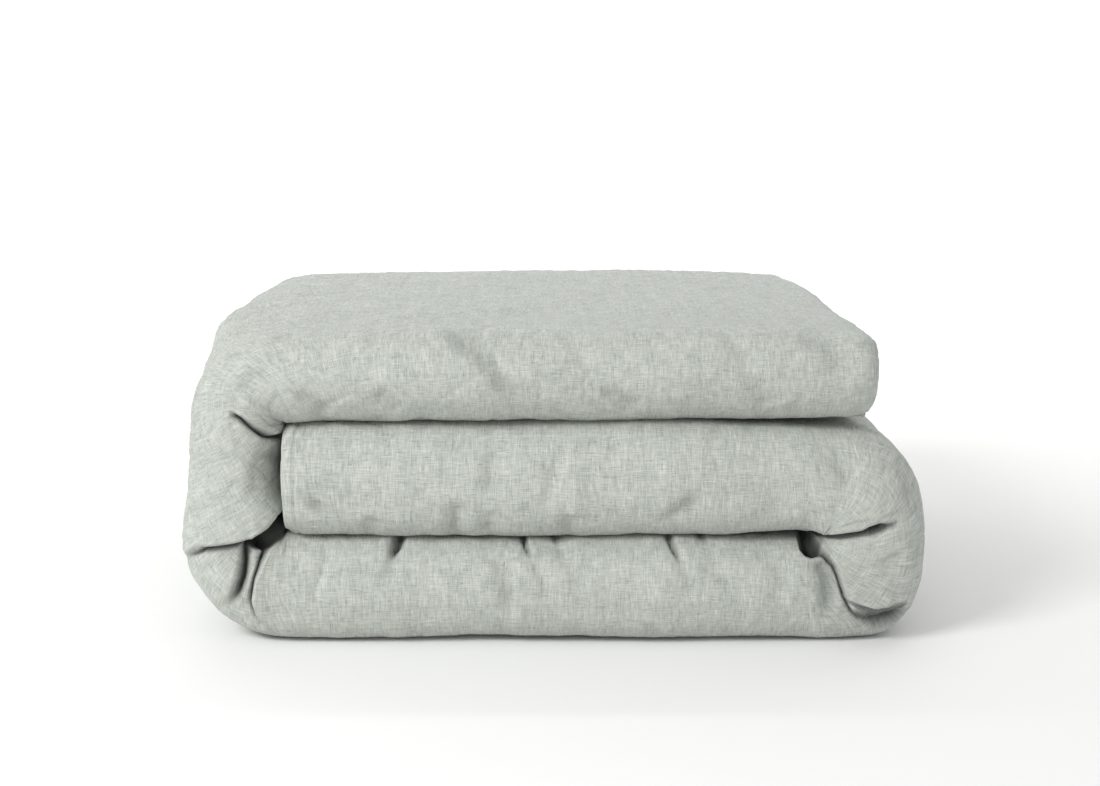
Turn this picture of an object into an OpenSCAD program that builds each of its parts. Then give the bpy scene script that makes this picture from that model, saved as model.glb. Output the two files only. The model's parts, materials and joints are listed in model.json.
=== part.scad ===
// Folded duvet in its linen cover.
// A 1400 x 2100 mm duvet is folded in half across its width, so the fold lies at the
// front (-Y) and both side edges lie at the back (+Y). It is then folded in three
// along its length: the tucked third lies between the lower and the upper third.
// Frame: origin at the middle of the underside, +X to the right fold, +Y to the back
// edges, +Z up.

/* [Folded stack] */
// Width over the left and right folds
stack_w = 741; // [720:1:780]
// Depth from the front fold to the back edges
stack_d = 700; // [620:10:760]
// Thickness of one third, which is two plies of duvet
slab_t = 104; // [96:1:112]
// Air between two thirds that lie on each other
layer_gap = 0.6; // [0.4:0.1:1.0]
// How far the upper third ends short of the right fold
upper_setback = 44; // [20:1:80]
// Air between the tucked end and the inside of the left fold
tuck_gap = 10.5; // [9:0.5:16]
// Air left between the thirds and the left fold at the hinge line
hinge_air = 0.2; // [0.15:0.05:0.4]

/* [Cover] */
// Thickness of the linen cloth
cloth = 1.0; // [0.8:0.1:1.2]
// Air between the two plies of one third
ply_gap = 0.6; // [0.4:0.1:1.0]
// How far the two closure bands lap over each other
band_lap = 20; // [14:1:24]
// Diameter of a button
button_d = 15; // [11:0.5:18]
// Thickness of a button
button_t = 3.2; // [2.6:0.1:3.6]
// Distance between two buttons along the opening
button_pitch = 170; // [120:5:180]
// Buttons on each ply of the opening
buttons_per_ply = 4; // [2:1:4]

/* [Insert] */
// Thickness of the cotton ticking
ticking = 0.6; // [0.4:0.1:0.8]
// Thickness of a baffle wall
baffle = 0.6; // [0.4:0.1:0.8]
// Rows of chambers from the front fold to the back edge of one ply
rows = 4; // [2:1:5]
// Columns of chambers along one third
cols = 3; // [2:1:4]
// Radius of the piping cord on the insert's long edges
piping_r = 1.5; // [1.0:0.1:1.6]
// Length of the cut corners of the insert, which leave room for the ties
corner_cut = 50; // [46:1:60]

/* [Hidden] */
$fn = 96;

linen = [0.70, 0.73, 0.69];
linen_back = [0.66, 0.69, 0.65];
cotton = [0.95, 0.95, 0.93];
fibre = [0.98, 0.98, 0.97];
shell = [0.90, 0.88, 0.82];
thread = [0.82, 0.84, 0.80];

t = slab_t;
ply_t = (t - ply_gap) / 2;              // one ply of duvet in its cover
ply_off = (ply_gap + ply_t) / 2;        // middle of a ply from the middle of the slab
front_y = -stack_d / 2 + t / 2;         // axis of the front fold
seam_y = stack_d / 2 - ply_t / 2;       // centre of a ply's rounded back edge
r_right = layer_gap / 2;                // inside radius of the right fold
r_left = 1.0;                           // inside radius of the left fold's corners
x_r = stack_w / 2 - r_right - t;        // where the right fold starts
x_l = -stack_w / 2 + r_left + t;        // where the left fold starts, and its hinge line
z_r = t + r_right;                      // axis of the right fold
z_lo = t + r_left;                      // lower corner axis of the left fold
z_up = 2 * t + 2 * layer_gap;           // underside of the upper third
z_hi = z_up - r_left;                   // upper corner axis of the left fold
x_h = x_l + hinge_air;                  // start of the lower and the upper third
x_end = stack_w / 2 - upper_setback;    // end of the upper third
x_tuck = x_l + tuck_gap;                // end of the tucked third, at the opening
slack = 0.3;                            // air between cover and insert
end_slack = 3;                          // air between cover and insert at the ends
back_slack = 4;                         // air at the back edges, for the piping
in_a = cloth + slack;                   // outside of the ticking
in_b = in_a + ticking;                  // inside of the ticking
in_c = in_b + 0.2;                      // outside of the fill
y_back = stack_d / 2 - in_a - back_slack;
x_ins_up = x_end - cloth - end_slack;
x_ins_tuck = x_tuck + 2 * cloth + end_slack;
far = 900;

// ---- flat outlines: x is the distance from the fold axis, y runs front to back ----

// Outline of the slab, inset by k, with its back edges moved in by b
module slab2d(r0, k, b = 0) {
  m = r0 + t / 2;
  intersection() {
    difference() {
      translate([m, front_y]) circle(r = t / 2 - k);
      translate([m, front_y]) circle(r = ply_gap / 2 + k);
    }
    translate([r0 - 1, front_y - t]) square([t + 2, t]);
  }
  for (s = [-1, 1]) translate([m + s * ply_off, 0]) {
    translate([-ply_t / 2 + k, front_y]) square([ply_t - 2 * k, seam_y - b - front_y]);
    translate([0, seam_y - b]) circle(r = ply_t / 2 - k);
  }
}

// Everything inside the middle line of the two plies, grown by e
module inside2d(r0, e = 0) {
  m = r0 + t / 2;
  translate([m - ply_off - e, front_y]) square([2 * (ply_off + e), stack_d]);
  translate([m, front_y]) circle(r = ply_off + e);
}

module face2d(r0) difference() {
  slab2d(r0, 0);
  slab2d(r0, cloth);
  inside2d(r0);
}

module reverse2d(r0) intersection() {
  difference() { slab2d(r0, 0); slab2d(r0, cloth); }
  inside2d(r0);
}

module ticking2d(r0) difference() {
  slab2d(r0, in_a, back_slack);
  slab2d(r0, in_b, back_slack);
}

row_pitch = (y_back - front_y) / rows;
module rows2d(r0, half) for (i = [1:rows - 1])
  translate([r0 - 1, front_y + i * row_pitch - half]) square([t + 2, 2 * half]);

module fill2d(r0) difference() {
  slab2d(r0, in_c, back_slack);
  rows2d(r0, baffle / 2 + 0.2);
}

module baffle2d(r0) intersection() {
  slab2d(r0, in_b + 0.05, back_slack);
  rows2d(r0, baffle / 2);
}

module piping2d(r0) for (s = [-1, 1])
  translate([r0 + t / 2 + s * ply_off, y_back + 0.1 + piping_r]) circle(r = piping_r);

// ---- ways of carrying an outline along the folded duvet ----

module along_lower(x0 = x_h, x1 = x_r)
  translate([x0, 0, z_r]) rotate([0, 90, 0]) linear_extrude(x1 - x0) children();
module along_tucked(x0, x1 = x_r)
  translate([x1, 0, z_r]) rotate([0, -90, 0]) linear_extrude(x1 - x0) children();
module along_upper(x0 = x_h, x1 = x_end)
  translate([x1, 0, z_hi]) rotate([0, -90, 0]) linear_extrude(x1 - x0) children();
module round_right()
  translate([x_r, 0, z_r]) rotate([-90, 0, 0]) rotate([0, 0, -90]) rotate_extrude(angle = 180) children();
module round_left() {
  translate([x_l, 0, z_lo]) rotate([-90, 0, 0]) rotate([0, 0, 90]) rotate_extrude(angle = 90) children();
  translate([x_l, 0, z_hi]) rotate([0, 180, 0]) linear_extrude(z_hi - z_lo) children();
  translate([x_l, 0, z_hi]) rotate([-90, 0, 0]) rotate([0, 0, 180]) rotate_extrude(angle = 90) children();
}

// ---- linen cover ----

module cover_face_lower_third() color(linen) along_lower() face2d(r_right);
module cover_face_right_fold() color(linen) round_right() face2d(r_right);
module cover_face_tucked_third() color(linen) along_tucked(x_tuck + cloth) face2d(r_right);
module cover_face_left_fold() color(linen) round_left() face2d(r_left);
module cover_face_upper_third() color(linen) {
  along_upper(x_h, x_end - cloth) face2d(r_left);
  along_upper(x_end - cloth, x_end) difference() { slab2d(r_left, 0); inside2d(r_left); }
}

module cover_reverse_lower_third() color(linen_back) along_lower() reverse2d(r_right);
module cover_reverse_right_fold() color(linen_back) round_right() reverse2d(r_right);
module cover_reverse_tucked_third() color(linen_back) along_tucked(x_tuck + 2 * cloth) reverse2d(r_right);
module cover_reverse_left_fold() color(linen_back) round_left() reverse2d(r_left);
module cover_reverse_upper_third() color(linen_back) {
  along_upper(x_h, x_end - cloth) reverse2d(r_left);
  along_upper(x_end - cloth, x_end) intersection() { slab2d(r_left, 0); inside2d(r_left); }
}

// ---- closure at the tucked end ----

function button_y() = [for (i = [0:buttons_per_ply - 1]) front_y + 45 + i * button_pitch];

module at_buttons(x) for (s = [-1, 1], y = button_y())
  translate([x, y, z_r + r_right + t / 2 + s * ply_off]) rotate([0, -90, 0]) children();

module buttonhole_band() color(linen) difference() {
  along_tucked(x_tuck, x_tuck + cloth) difference() {
    slab2d(r_right, 0);
    inside2d(r_right, -band_lap / 2);
  }
  for (s = [-1, 1], y = button_y())
    translate([x_tuck + cloth / 2, y, z_r + r_right + t / 2 + s * ply_off])
      cube([3 * cloth, button_d + 2, 3], center = true);
}

module button_band() color(linen_back) along_tucked(x_tuck + cloth, x_tuck + 2 * cloth) difference() {
  intersection() {
    slab2d(r_right, 0);
    inside2d(r_right, band_lap / 2);
  }
  face2d(r_right);
}

hole_pitch = button_d * 0.16;
module button() difference() {
  cylinder(d = button_d, h = button_t);
  translate([0, 0, button_t - 0.8]) cylinder(d = button_d - 3.6, h = 1);
  for (i = [-1, 1], j = [-1, 1])
    translate([i * hole_pitch, j * hole_pitch, -1]) cylinder(d = 1.9, h = button_t + 2);
}
module buttons() color(shell) at_buttons(x_tuck - 0.6) button();

// Shank through the buttonhole, four strands through the button and two bars across it
module stitch() {
  translate([0, 0, -cloth - 0.6]) cylinder(d = 2.4, h = cloth + 0.1);
  translate([0, 0, -0.5]) cylinder(d = 6.6, h = 0.45);
  for (i = [-1, 1]) {
    for (j = [-1, 1]) translate([i * hole_pitch, j * hole_pitch, -0.1]) cylinder(d = 1.5, h = button_t - 0.2);
    translate([i * hole_pitch, 0, button_t - 0.4]) cube([1.4, 2 * hole_pitch, 0.6], center = true);
  }
}
module button_threads() color(thread) at_buttons(x_tuck - 0.6) stitch();

module care_label() color(cotton)
  translate([x_tuck + 2 * cloth + 0.6, front_y + 60, z_r + r_right + t / 2 + ply_off - 19])
    cube([0.8, 45, 34]);

// ---- insert ----

module cut_upper(k) translate([x_ins_up, y_back - corner_cut - k * sqrt(2), 0]) rotate([0, 0, 45])
  translate([0, -far / 2, 0]) cube([far, far, far]);
module cut_tucked(k) translate([x_ins_tuck, y_back - corner_cut - k * sqrt(2), 0]) rotate([0, 0, 135])
  translate([0, -far / 2, 0]) cube([far, far, far]);

module insert_ticking_lower_third() color(cotton) along_lower() ticking2d(r_right);
module insert_ticking_right_fold() color(cotton) round_right() ticking2d(r_right);
module insert_ticking_left_fold() color(cotton) round_left() ticking2d(r_left);
module insert_ticking_tucked_third() color(cotton) difference() {
  difference() { along_tucked(x_ins_tuck) slab2d(r_right, in_a, back_slack); cut_tucked(0); }
  difference() { along_tucked(x_ins_tuck + ticking, x_r + 5) slab2d(r_right, in_b, back_slack); cut_tucked(ticking); }
}
module insert_ticking_upper_third() color(cotton) difference() {
  difference() { along_upper(x_h, x_ins_up) slab2d(r_left, in_a, back_slack); cut_upper(0); }
  difference() { along_upper(x_l - 5, x_ins_up - ticking) slab2d(r_left, in_b, back_slack); cut_upper(ticking); }
}

// The chambers' columns: each runs from one wall to the next
function wall_x(x0, x1, i) = x0 + (x1 - x0) * i / cols;
gap_c = baffle / 2 + 0.2;
x_lc0 = x_h + baffle / 2;
x_lc1 = x_r - baffle / 2;
x_tc0 = x_ins_tuck + ticking - baffle / 2;
x_uc1 = x_ins_up - ticking + baffle / 2;

module insert_fill_lower_third() color(fibre) for (i = [0:cols - 1])
  along_lower(wall_x(x_lc0, x_lc1, i) + gap_c, wall_x(x_lc0, x_lc1, i + 1) - gap_c) fill2d(r_right);
module insert_fill_right_fold() color(fibre) round_right() fill2d(r_right);
module insert_fill_left_fold() color(fibre) round_left() fill2d(r_left);
module insert_fill_tucked_third() color(fibre) difference() {
  for (i = [0:cols - 1])
    along_tucked(wall_x(x_tc0, x_lc1, i) + gap_c, wall_x(x_tc0, x_lc1, i + 1) - gap_c) fill2d(r_right);
  cut_tucked(ticking + 0.2);
}
module insert_fill_upper_third() color(fibre) difference() {
  for (i = [0:cols - 1])
    along_upper(wall_x(x_lc0, x_uc1, i) + gap_c, wall_x(x_lc0, x_uc1, i + 1) - gap_c) fill2d(r_left);
  cut_upper(ticking + 0.2);
}

module insert_baffles_lower_third() color(cotton) {
  along_lower(x_lc0, x_lc1) baffle2d(r_right);
  for (i = [0:cols]) let (x = wall_x(x_lc0, x_lc1, i))
    along_lower(x - baffle / 2, x + baffle / 2) slab2d(r_right, in_b + 0.05, back_slack);
}
module insert_baffles_right_fold() color(cotton) round_right() baffle2d(r_right);
module insert_baffles_left_fold() color(cotton) round_left() baffle2d(r_left);
module insert_baffles_tucked_third() color(cotton) difference() {
  union() {
    along_tucked(x_tc0 + gap_c, x_lc1) baffle2d(r_right);
    for (i = [1:cols]) let (x = wall_x(x_tc0, x_lc1, i))
      along_tucked(x - baffle / 2, x + baffle / 2) slab2d(r_right, in_b + 0.05, back_slack);
  }
  cut_tucked(ticking + 0.1);
}
module insert_baffles_upper_third() color(cotton) difference() {
  union() {
    along_upper(x_lc0, x_uc1 - gap_c) baffle2d(r_left);
    for (i = [0:cols - 1]) let (x = wall_x(x_lc0, x_uc1, i))
      along_upper(x - baffle / 2, x + baffle / 2) slab2d(r_left, in_b + 0.05, back_slack);
  }
  cut_upper(ticking + 0.1);
}

module insert_piping_lower_third() color(cotton) along_lower() piping2d(r_right);
module insert_piping_right_fold() color(cotton) round_right() piping2d(r_right);
module insert_piping_left_fold() color(cotton) round_left() piping2d(r_left);
module insert_piping_tucked_third() color(cotton) along_tucked(x_ins_tuck + corner_cut + 2) piping2d(r_right);
module insert_piping_upper_third() color(cotton) along_upper(x_h, x_ins_up - corner_cut - 2) piping2d(r_left);

// ---- ties and loops in the corners: +X points from the insert to the cover's corner ----

tape = 0.8;
module loop_tape() {
  translate([0.1, -6, -5]) cube([tape, 12, 10]);
  translate([0.1 + tape + 7.6, 0, -5]) difference() {
    cylinder(r = 8, h = 10);
    translate([0, 0, -1]) cylinder(r = 8 - tape, h = 12);
  }
}
module tie_tape() translate([0.1 + tape + 7.6 + 7.6, 0, 0]) {
  rotate([90, 0, 0]) translate([0, 0, -4]) difference() {
    cylinder(r = 9, h = 8);
    translate([0, 0, -1]) cylinder(r = 9 - tape, h = 10);
  }
  translate([8.6, -4, -tape / 2]) cube([6, 8, tape]);
  translate([10.5, -4, 0.3]) rotate([0, -50, 0]) cube([9, 3, tape]);
  translate([10.5, 1, -0.3]) rotate([0, 40, 0]) cube([8, 3, tape]);
}
module at_upper_corners() for (s = [-1, 1])
  translate([x_ins_up - corner_cut / 2, y_back - corner_cut / 2, z_hi + r_left + t / 2 + s * ply_off])
    rotate([0, 0, 45]) children();
module at_tucked_corners() for (s = [-1, 1])
  translate([x_ins_tuck + corner_cut / 2, y_back - corner_cut / 2, z_r + r_right + t / 2 + s * ply_off])
    rotate([0, 0, 135]) children();

module corner_loops_upper_end() color(cotton) at_upper_corners() loop_tape();
module corner_ties_upper_end() color(linen) at_upper_corners() tie_tape();
module corner_loops_tucked_end() color(cotton) at_tucked_corners() loop_tape();
module corner_ties_tucked_end() color(linen) at_tucked_corners() tie_tape();

cover_face_lower_third();
cover_face_right_fold();
cover_face_tucked_third();
cover_face_left_fold();
cover_face_upper_third();
cover_reverse_lower_third();
cover_reverse_right_fold();
cover_reverse_tucked_third();
cover_reverse_left_fold();
cover_reverse_upper_third();
insert_ticking_lower_third();
insert_ticking_right_fold();
insert_ticking_tucked_third();
insert_ticking_left_fold();
insert_ticking_upper_third();
insert_fill_lower_third();
insert_fill_right_fold();
insert_fill_tucked_third();
insert_fill_left_fold();
insert_fill_upper_third();
insert_baffles_lower_third();
insert_baffles_right_fold();
insert_baffles_tucked_third();
insert_baffles_left_fold();
insert_baffles_upper_third();
insert_piping_lower_third();
insert_piping_right_fold();
insert_piping_tucked_third();
insert_piping_left_fold();
insert_piping_upper_third();
buttonhole_band();
button_band();
buttons();
button_threads();
corner_ties_tucked_end();
corner_loops_tucked_end();
corner_ties_upper_end();
corner_loops_upper_end();
care_label();
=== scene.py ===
"""Folded duvet in a linen chambray cover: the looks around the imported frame."""
import json
import math

import bmesh
import bpy
import numpy as np
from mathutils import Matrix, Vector


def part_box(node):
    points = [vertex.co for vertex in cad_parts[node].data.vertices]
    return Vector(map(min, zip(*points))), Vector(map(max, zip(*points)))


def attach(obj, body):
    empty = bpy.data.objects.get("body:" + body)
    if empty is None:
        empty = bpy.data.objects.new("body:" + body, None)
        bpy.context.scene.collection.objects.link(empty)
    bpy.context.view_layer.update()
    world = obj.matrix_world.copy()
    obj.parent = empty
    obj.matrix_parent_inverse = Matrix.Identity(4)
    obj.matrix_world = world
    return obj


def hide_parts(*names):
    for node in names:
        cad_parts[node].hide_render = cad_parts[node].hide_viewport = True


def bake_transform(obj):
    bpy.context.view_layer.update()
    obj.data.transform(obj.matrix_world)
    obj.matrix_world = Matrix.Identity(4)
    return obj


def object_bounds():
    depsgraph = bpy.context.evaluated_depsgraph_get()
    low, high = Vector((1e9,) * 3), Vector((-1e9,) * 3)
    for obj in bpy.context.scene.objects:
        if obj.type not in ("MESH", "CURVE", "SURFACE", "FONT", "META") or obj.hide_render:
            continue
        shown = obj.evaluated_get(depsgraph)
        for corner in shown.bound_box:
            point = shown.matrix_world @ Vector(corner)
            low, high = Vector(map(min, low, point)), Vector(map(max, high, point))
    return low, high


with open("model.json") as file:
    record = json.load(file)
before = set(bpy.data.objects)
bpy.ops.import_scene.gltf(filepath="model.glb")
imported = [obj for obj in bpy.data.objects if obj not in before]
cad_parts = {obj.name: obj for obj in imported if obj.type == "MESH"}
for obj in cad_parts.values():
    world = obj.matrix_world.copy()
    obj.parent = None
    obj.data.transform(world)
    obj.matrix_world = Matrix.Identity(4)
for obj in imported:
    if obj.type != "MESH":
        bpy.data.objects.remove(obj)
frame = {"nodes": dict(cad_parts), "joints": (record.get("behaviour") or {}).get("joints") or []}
CAD_BOX = [list(v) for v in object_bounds()]


# ---------------------------------------------------------------- helpers

def sstep(a, b, x):
    t = np.clip((np.asarray(x, float) - a) / (b - a), 0, 1)
    return t * t * (3 - 2 * t)


def ramp(x, pts):
    """Smooth interpolation through (x, value) pairs."""
    xs = [p[0] for p in pts]
    out = np.full(np.shape(x), float(pts[0][1]))
    for (x0, v0), (x1, v1) in zip(pts[:-1], pts[1:]):
        out = out + (v1 - v0) * sstep(x0, x1, x)
    return out


class Noise:
    """Seeded gradient noise in three dimensions, for arrays."""

    def __init__(self, seed):
        rng = np.random.default_rng(seed)
        self.perm = np.concatenate([rng.permutation(256)] * 3)
        g = rng.normal(size=(256, 3))
        self.grad = g / np.linalg.norm(g, axis=1)[:, None]

    def __call__(self, p):
        p = np.asarray(p, float)
        i = np.floor(p).astype(int)
        f = p - i
        u = f * f * f * (f * (f * 6 - 15) + 10)
        i &= 255
        out = 0
        for dx in (0, 1):
            wx = u[..., 0] if dx else 1 - u[..., 0]
            for dy in (0, 1):
                wy = u[..., 1] if dy else 1 - u[..., 1]
                for dz in (0, 1):
                    wz = u[..., 2] if dz else 1 - u[..., 2]
                    h = self.perm[self.perm[self.perm[(i[..., 0] + dx) & 255] + ((i[..., 1] + dy) & 255)] + ((i[..., 2] + dz) & 255)]
                    g = self.grad[h]
                    d = g[..., 0] * (f[..., 0] - dx) + g[..., 1] * (f[..., 1] - dy) + g[..., 2] * (f[..., 2] - dz)
                    out = out + wx * wy * wz * d
        return out * 1.6


def grid_normals(P):
    """Unit normals of a grid of points, rows along axis 0 and columns along axis 1."""
    du = np.gradient(P, axis=1)
    dv = np.gradient(P, axis=0)
    n = np.cross(dv, du)
    return n / np.maximum(np.linalg.norm(n, axis=2), 1e-12)[..., None]


def mesh_object(name, verts, faces, material, smooth=True, attrs=None):
    me = bpy.data.meshes.new(name)
    me.from_pydata([tuple(v) for v in np.asarray(verts, float)], [], [tuple(int(i) for i in f) for f in faces])
    for key, (kind, values) in (attrs or {}).items():
        a = me.attributes.new(key, kind, "POINT")
        if kind == "FLOAT":
            a.data.foreach_set("value", np.asarray(values, np.float32).ravel())
        else:
            a.data.foreach_set("vector", np.asarray(values, np.float32).ravel())
    if smooth:
        me.polygons.foreach_set("use_smooth", [True] * len(me.polygons))
    me.materials.append(material)
    me.update()
    ob = bpy.data.objects.new(name, me)
    bpy.context.scene.collection.objects.link(ob)
    return ob


def grid_faces(rows, cols, offset=0, flip=False, wrap=False):
    j, i = np.meshgrid(np.arange(rows if wrap else rows - 1), np.arange(cols - 1), indexing="ij")
    a = j * cols + i
    b = j * cols + i + 1
    c = ((j + 1) % rows) * cols + i + 1
    d = ((j + 1) % rows) * cols + i
    q = np.stack([a, b, c, d] if not flip else [a, d, c, b], -1).reshape(-1, 4) + offset
    return q


# ---------------------------------------------------------------- sizes, from the frame

lo3, hi3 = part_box("cover_face_lower_third")
up_lo, up_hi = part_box("cover_face_upper_third")
band_lo, band_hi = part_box("buttonhole_band")
X_L = lo3.x - 0.0002                 # hinge line and start of the left fold
X_R = hi3.x                          # start of the right fold
X_END = up_hi.x                      # end of the upper third
X_TUCK = band_lo.x                   # end of the tucked third
Y_F, Y_B = CAD_BOX[0][1], CAD_BOX[1][1]
TOP = CAD_BOX[1][2]
joint = frame["joints"][0]
Z_H = joint["pos_m"][2]

H_UP = 0.0505                        # half thicknesses
Z_UP = TOP - 0.0020 - H_UP
Z_LOW, H_LOW = 0.0487, 0.0487
Z_MID, H_MID = 0.1543, 0.0566
R_L = 0.053                          # mid-surface radius of the left corners
Z_CR = (Z_MID + Z_LOW) / 2
R_R = (Z_MID - Z_LOW) / 2
PLY = 0.0262                         # middle of a ply from the middle of a third


# ---------------------------------------------------------------- the path of the folded length

LENS = [X_R - X_TUCK, math.pi * R_R, X_R - X_L, R_L * math.pi / 2, (Z_UP - R_L) - (Z_LOW + R_L), R_L * math.pi / 2, X_END - X_L]
ENDS = np.concatenate([[0], np.cumsum(LENS)])
S_TOTAL = ENDS[-1]


def path(s):
    """Point, outward normal and tangent of the mid-surface in the x-z plane at lengths s."""
    s = np.asarray(s, float)
    x, z, a = np.zeros_like(s), np.zeros_like(s), np.zeros_like(s)   # a: heading, 0 along +X, clockwise positive
    for k in range(7):
        m = (s >= ENDS[k]) & (s <= ENDS[k + 1]) if k < 6 else (s >= ENDS[k])
        if k == 0:
            m = s <= ENDS[1]
        q = s[m] - ENDS[k]
        if k == 0:
            x[m], z[m], a[m] = X_TUCK + q, Z_MID, 0
        elif k == 1:
            t = q / R_R
            x[m], z[m], a[m] = X_R + R_R * np.sin(t), Z_CR + R_R * np.cos(t), t
        elif k == 2:
            x[m], z[m], a[m] = X_R - q, Z_LOW, math.pi
        elif k == 3:
            t = q / R_L
            x[m], z[m], a[m] = X_L - R_L * np.sin(t), Z_LOW + R_L - R_L * np.cos(t), math.pi + t
        elif k == 4:
            x[m], z[m], a[m] = X_L - R_L, Z_LOW + R_L + q, 1.5 * math.pi
        elif k == 5:
            t = q / R_L
            x[m], z[m], a[m] = X_L - R_L * np.cos(t), Z_UP - R_L + R_L * np.sin(t), 1.5 * math.pi + t
        else:
            x[m], z[m], a[m] = X_L + q, Z_UP, 2 * math.pi
    N = np.stack([np.sin(a), np.cos(a)], -1)
    T = np.stack([np.cos(a), -np.sin(a)], -1)
    return np.stack([x, z], -1), N, T


def h_out(s):
    return ramp(s, [(0, H_MID), (ENDS[1] - 0.12, H_MID), (ENDS[1] + 0.05, 0.0525), (ENDS[2] - 0.02, 0.0520), (ENDS[2] + 0.10, H_LOW),
                    (ENDS[3] - 0.02, H_LOW), (ENDS[3] + 0.06, 0.0518), (ENDS[6] - 0.03, 0.0518), (ENDS[6] + 0.05, H_UP), (S_TOTAL, H_UP)])


def h_in(s):
    return ramp(s, [(0, H_MID), (ENDS[1] - 0.10, H_MID), (ENDS[1] - 0.005, R_R - 0.0012), (ENDS[2] + 0.005, R_R - 0.0012), (ENDS[2] + 0.10, H_LOW + 0.0003),
                    (ENDS[3] - 0.02, H_LOW), (ENDS[3] + 0.005, R_L - 0.0012), (ENDS[6] - 0.005, R_L - 0.0012), (ENDS[6] + 0.06, H_UP), (S_TOTAL, H_UP)])


def y_front(s):
    """How far forward the front fold reaches."""
    return Y_F + 0.0025 + ramp(s, [(0, 0.006), (0.10, 0.004), (ENDS[1], 0.002), (ENDS[2], 0.004), (ENDS[2] + .1, 0.002), (ENDS[3], 0.003), (ENDS[4], 0.004), (ENDS[5], 0.003), (ENDS[6] + .1, 0.0), (S_TOTAL, 0.002)])


NOSE_A = 0.053       # depth of the rounded front
NOSE_P = 2.35
BACK_R = 0.040       # length over which a ply thins to its back seam


# ---------------------------------------------------------------- section: rows run from the back seam of the outer ply round the front to the back seam of the inner ply

NOSE_ROWS, FLAT_ROWS, EDGE_ROWS = 92, 50, 10


def section_rows():
    """For each row: kind parameter. Returns arrays: side (+1..-1 as nose angle), flat position f (0 at back seam .. 1 at nose start)."""
    # distance from the back seam along the ply, for the flat part
    flat_len = (Y_B - Y_F) - NOSE_A
    e = BACK_R * (1 - np.cos(np.linspace(0, math.pi / 2, EDGE_ROWS + 1)))[:-1]
    k = np.linspace(0, 1, FLAT_ROWS + 1)
    grow = 0.35 * k + 0.65 * (1 - (1 - k) ** 1.6)
    f = BACK_R + (flat_len - BACK_R) * grow
    d = np.concatenate([e, f])[:-1]
    return d, flat_len


def section(s, skin=1):
    """Grids over rows and columns: y and n of the skin, and k, its share of the ply's half thickness. skin 1 is the face panel, -1 the reverse panel."""
    d, flat_len = section_rows()
    nose = np.linspace(0, math.pi, NOSE_ROWS + 1)
    ho, hi = h_out(s)[None, :], h_in(s)[None, :]
    yf = y_front(s)[None, :]
    # nose profile in equal steps of a superellipse's arc
    t = np.linspace(0, math.pi, 2000)
    cy = -np.sign(np.sin(t)) * np.abs(np.sin(t)) ** (2 / NOSE_P)
    cn = np.sign(np.cos(t)) * np.abs(np.cos(t)) ** (2 / NOSE_P)
    arc = np.concatenate([[0], np.cumsum(np.hypot(np.diff(cy), np.diff(cn)))])
    tt = np.interp(np.linspace(0, arc[-1], NOSE_ROWS + 1), arc, t)
    cy = -np.abs(np.sin(tt)) ** (2 / NOSE_P)
    cn = np.sign(np.cos(tt)) * np.abs(np.cos(tt)) ** (2 / NOSE_P)
    rows = []
    yb = Y_B - 0.004
    for side in (1,):
        for dd in d:
            prof = (1 - (1 - min(dd / BACK_R, 1)) ** 2.3) ** (1 / 2.3)
            rows.append(("flat", 1, dd, prof))
    for a, b in zip(cy, cn):
        rows.append(("nose", a, b, 1.0))
    for dd in d[::-1]:
        prof = (1 - (1 - min(dd / BACK_R, 1)) ** 2.3) ** (1 / 2.3)
        rows.append(("flat", -1, dd, prof))
    n_rows, n_cols = len(rows), len(s)
    Y, Nn, Yc, Nc, K = (np.zeros((n_rows, n_cols)) for _ in range(5))
    V = np.zeros((n_rows, n_cols))
    for j, r in enumerate(rows):
        if r[0] == "flat":
            _, side, dd, prof = r
            h = ho[0] if side > 0 else hi[0]
            share = dd / flat_len
            Y[j] = yb - dd * (yb - (yf[0] + NOSE_A)) / flat_len
            Nn[j] = side * h if skin > 0 else side * 0.0004
            Yc[j], Nc[j] = Y[j], side * h / 2
            K[j] = prof
        else:
            _, a, b, prof = r
            h = ho[0] if b >= 0 else hi[0]
            if skin > 0:
                Y[j] = yf[0] + NOSE_A * (1 + a)
                Nn[j] = b * h
            else:
                Y[j] = yf[0] + NOSE_A + 0.002 * a
                Nn[j] = b * 0.0004
            Yc[j] = yf[0] + NOSE_A + 0.5 * NOSE_A * a
            Nc[j] = b * h / 2
            K[j] = 1
    return Y, Nn, Yc, Nc, K


def columns(k=1.0):
    """Lengths s of the columns, closer together at the folds, at the tucked end and at the free end."""
    s, out = 0.0, [0.0]
    while s < S_TOTAL:
        if s < 0.016:
            ds = 0.0012
        elif ENDS[1] - 0.03 < s < ENDS[2] + 0.04:
            ds = 0.00125
        elif ENDS[3] - 0.05 < s < ENDS[4] + 0.02:
            ds = 0.00125
        elif ENDS[4] <= s < ENDS[6]:
            ds = 0.0016
        elif s > S_TOTAL - 0.05:
            ds = 0.0010 + 0.0018 * (S_TOTAL - s) / 0.05
        else:
            ds = 0.0028
        s += ds * k
        out.append(min(s, S_TOTAL))
    return np.array(out)


END_R = 0.030


HEM = 0.011          # width of the turned hem at the opening
A_L0, A_L1 = ENDS[3], ENDS[6]


def end_share(s):
    """A ply thins to the seam at the upper end. The tucked end is blunt, with its hem bevelled."""
    d = np.clip((S_TOTAL - s) / END_R, 0, 1)
    up = (1 - (1 - d) ** 2.8) ** (1 / 2.8)
    q = np.clip(s / HEM, 0, 1)
    tuck = 1 - 0.17 * (1 - q) ** 1.4
    return up * tuck


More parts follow.
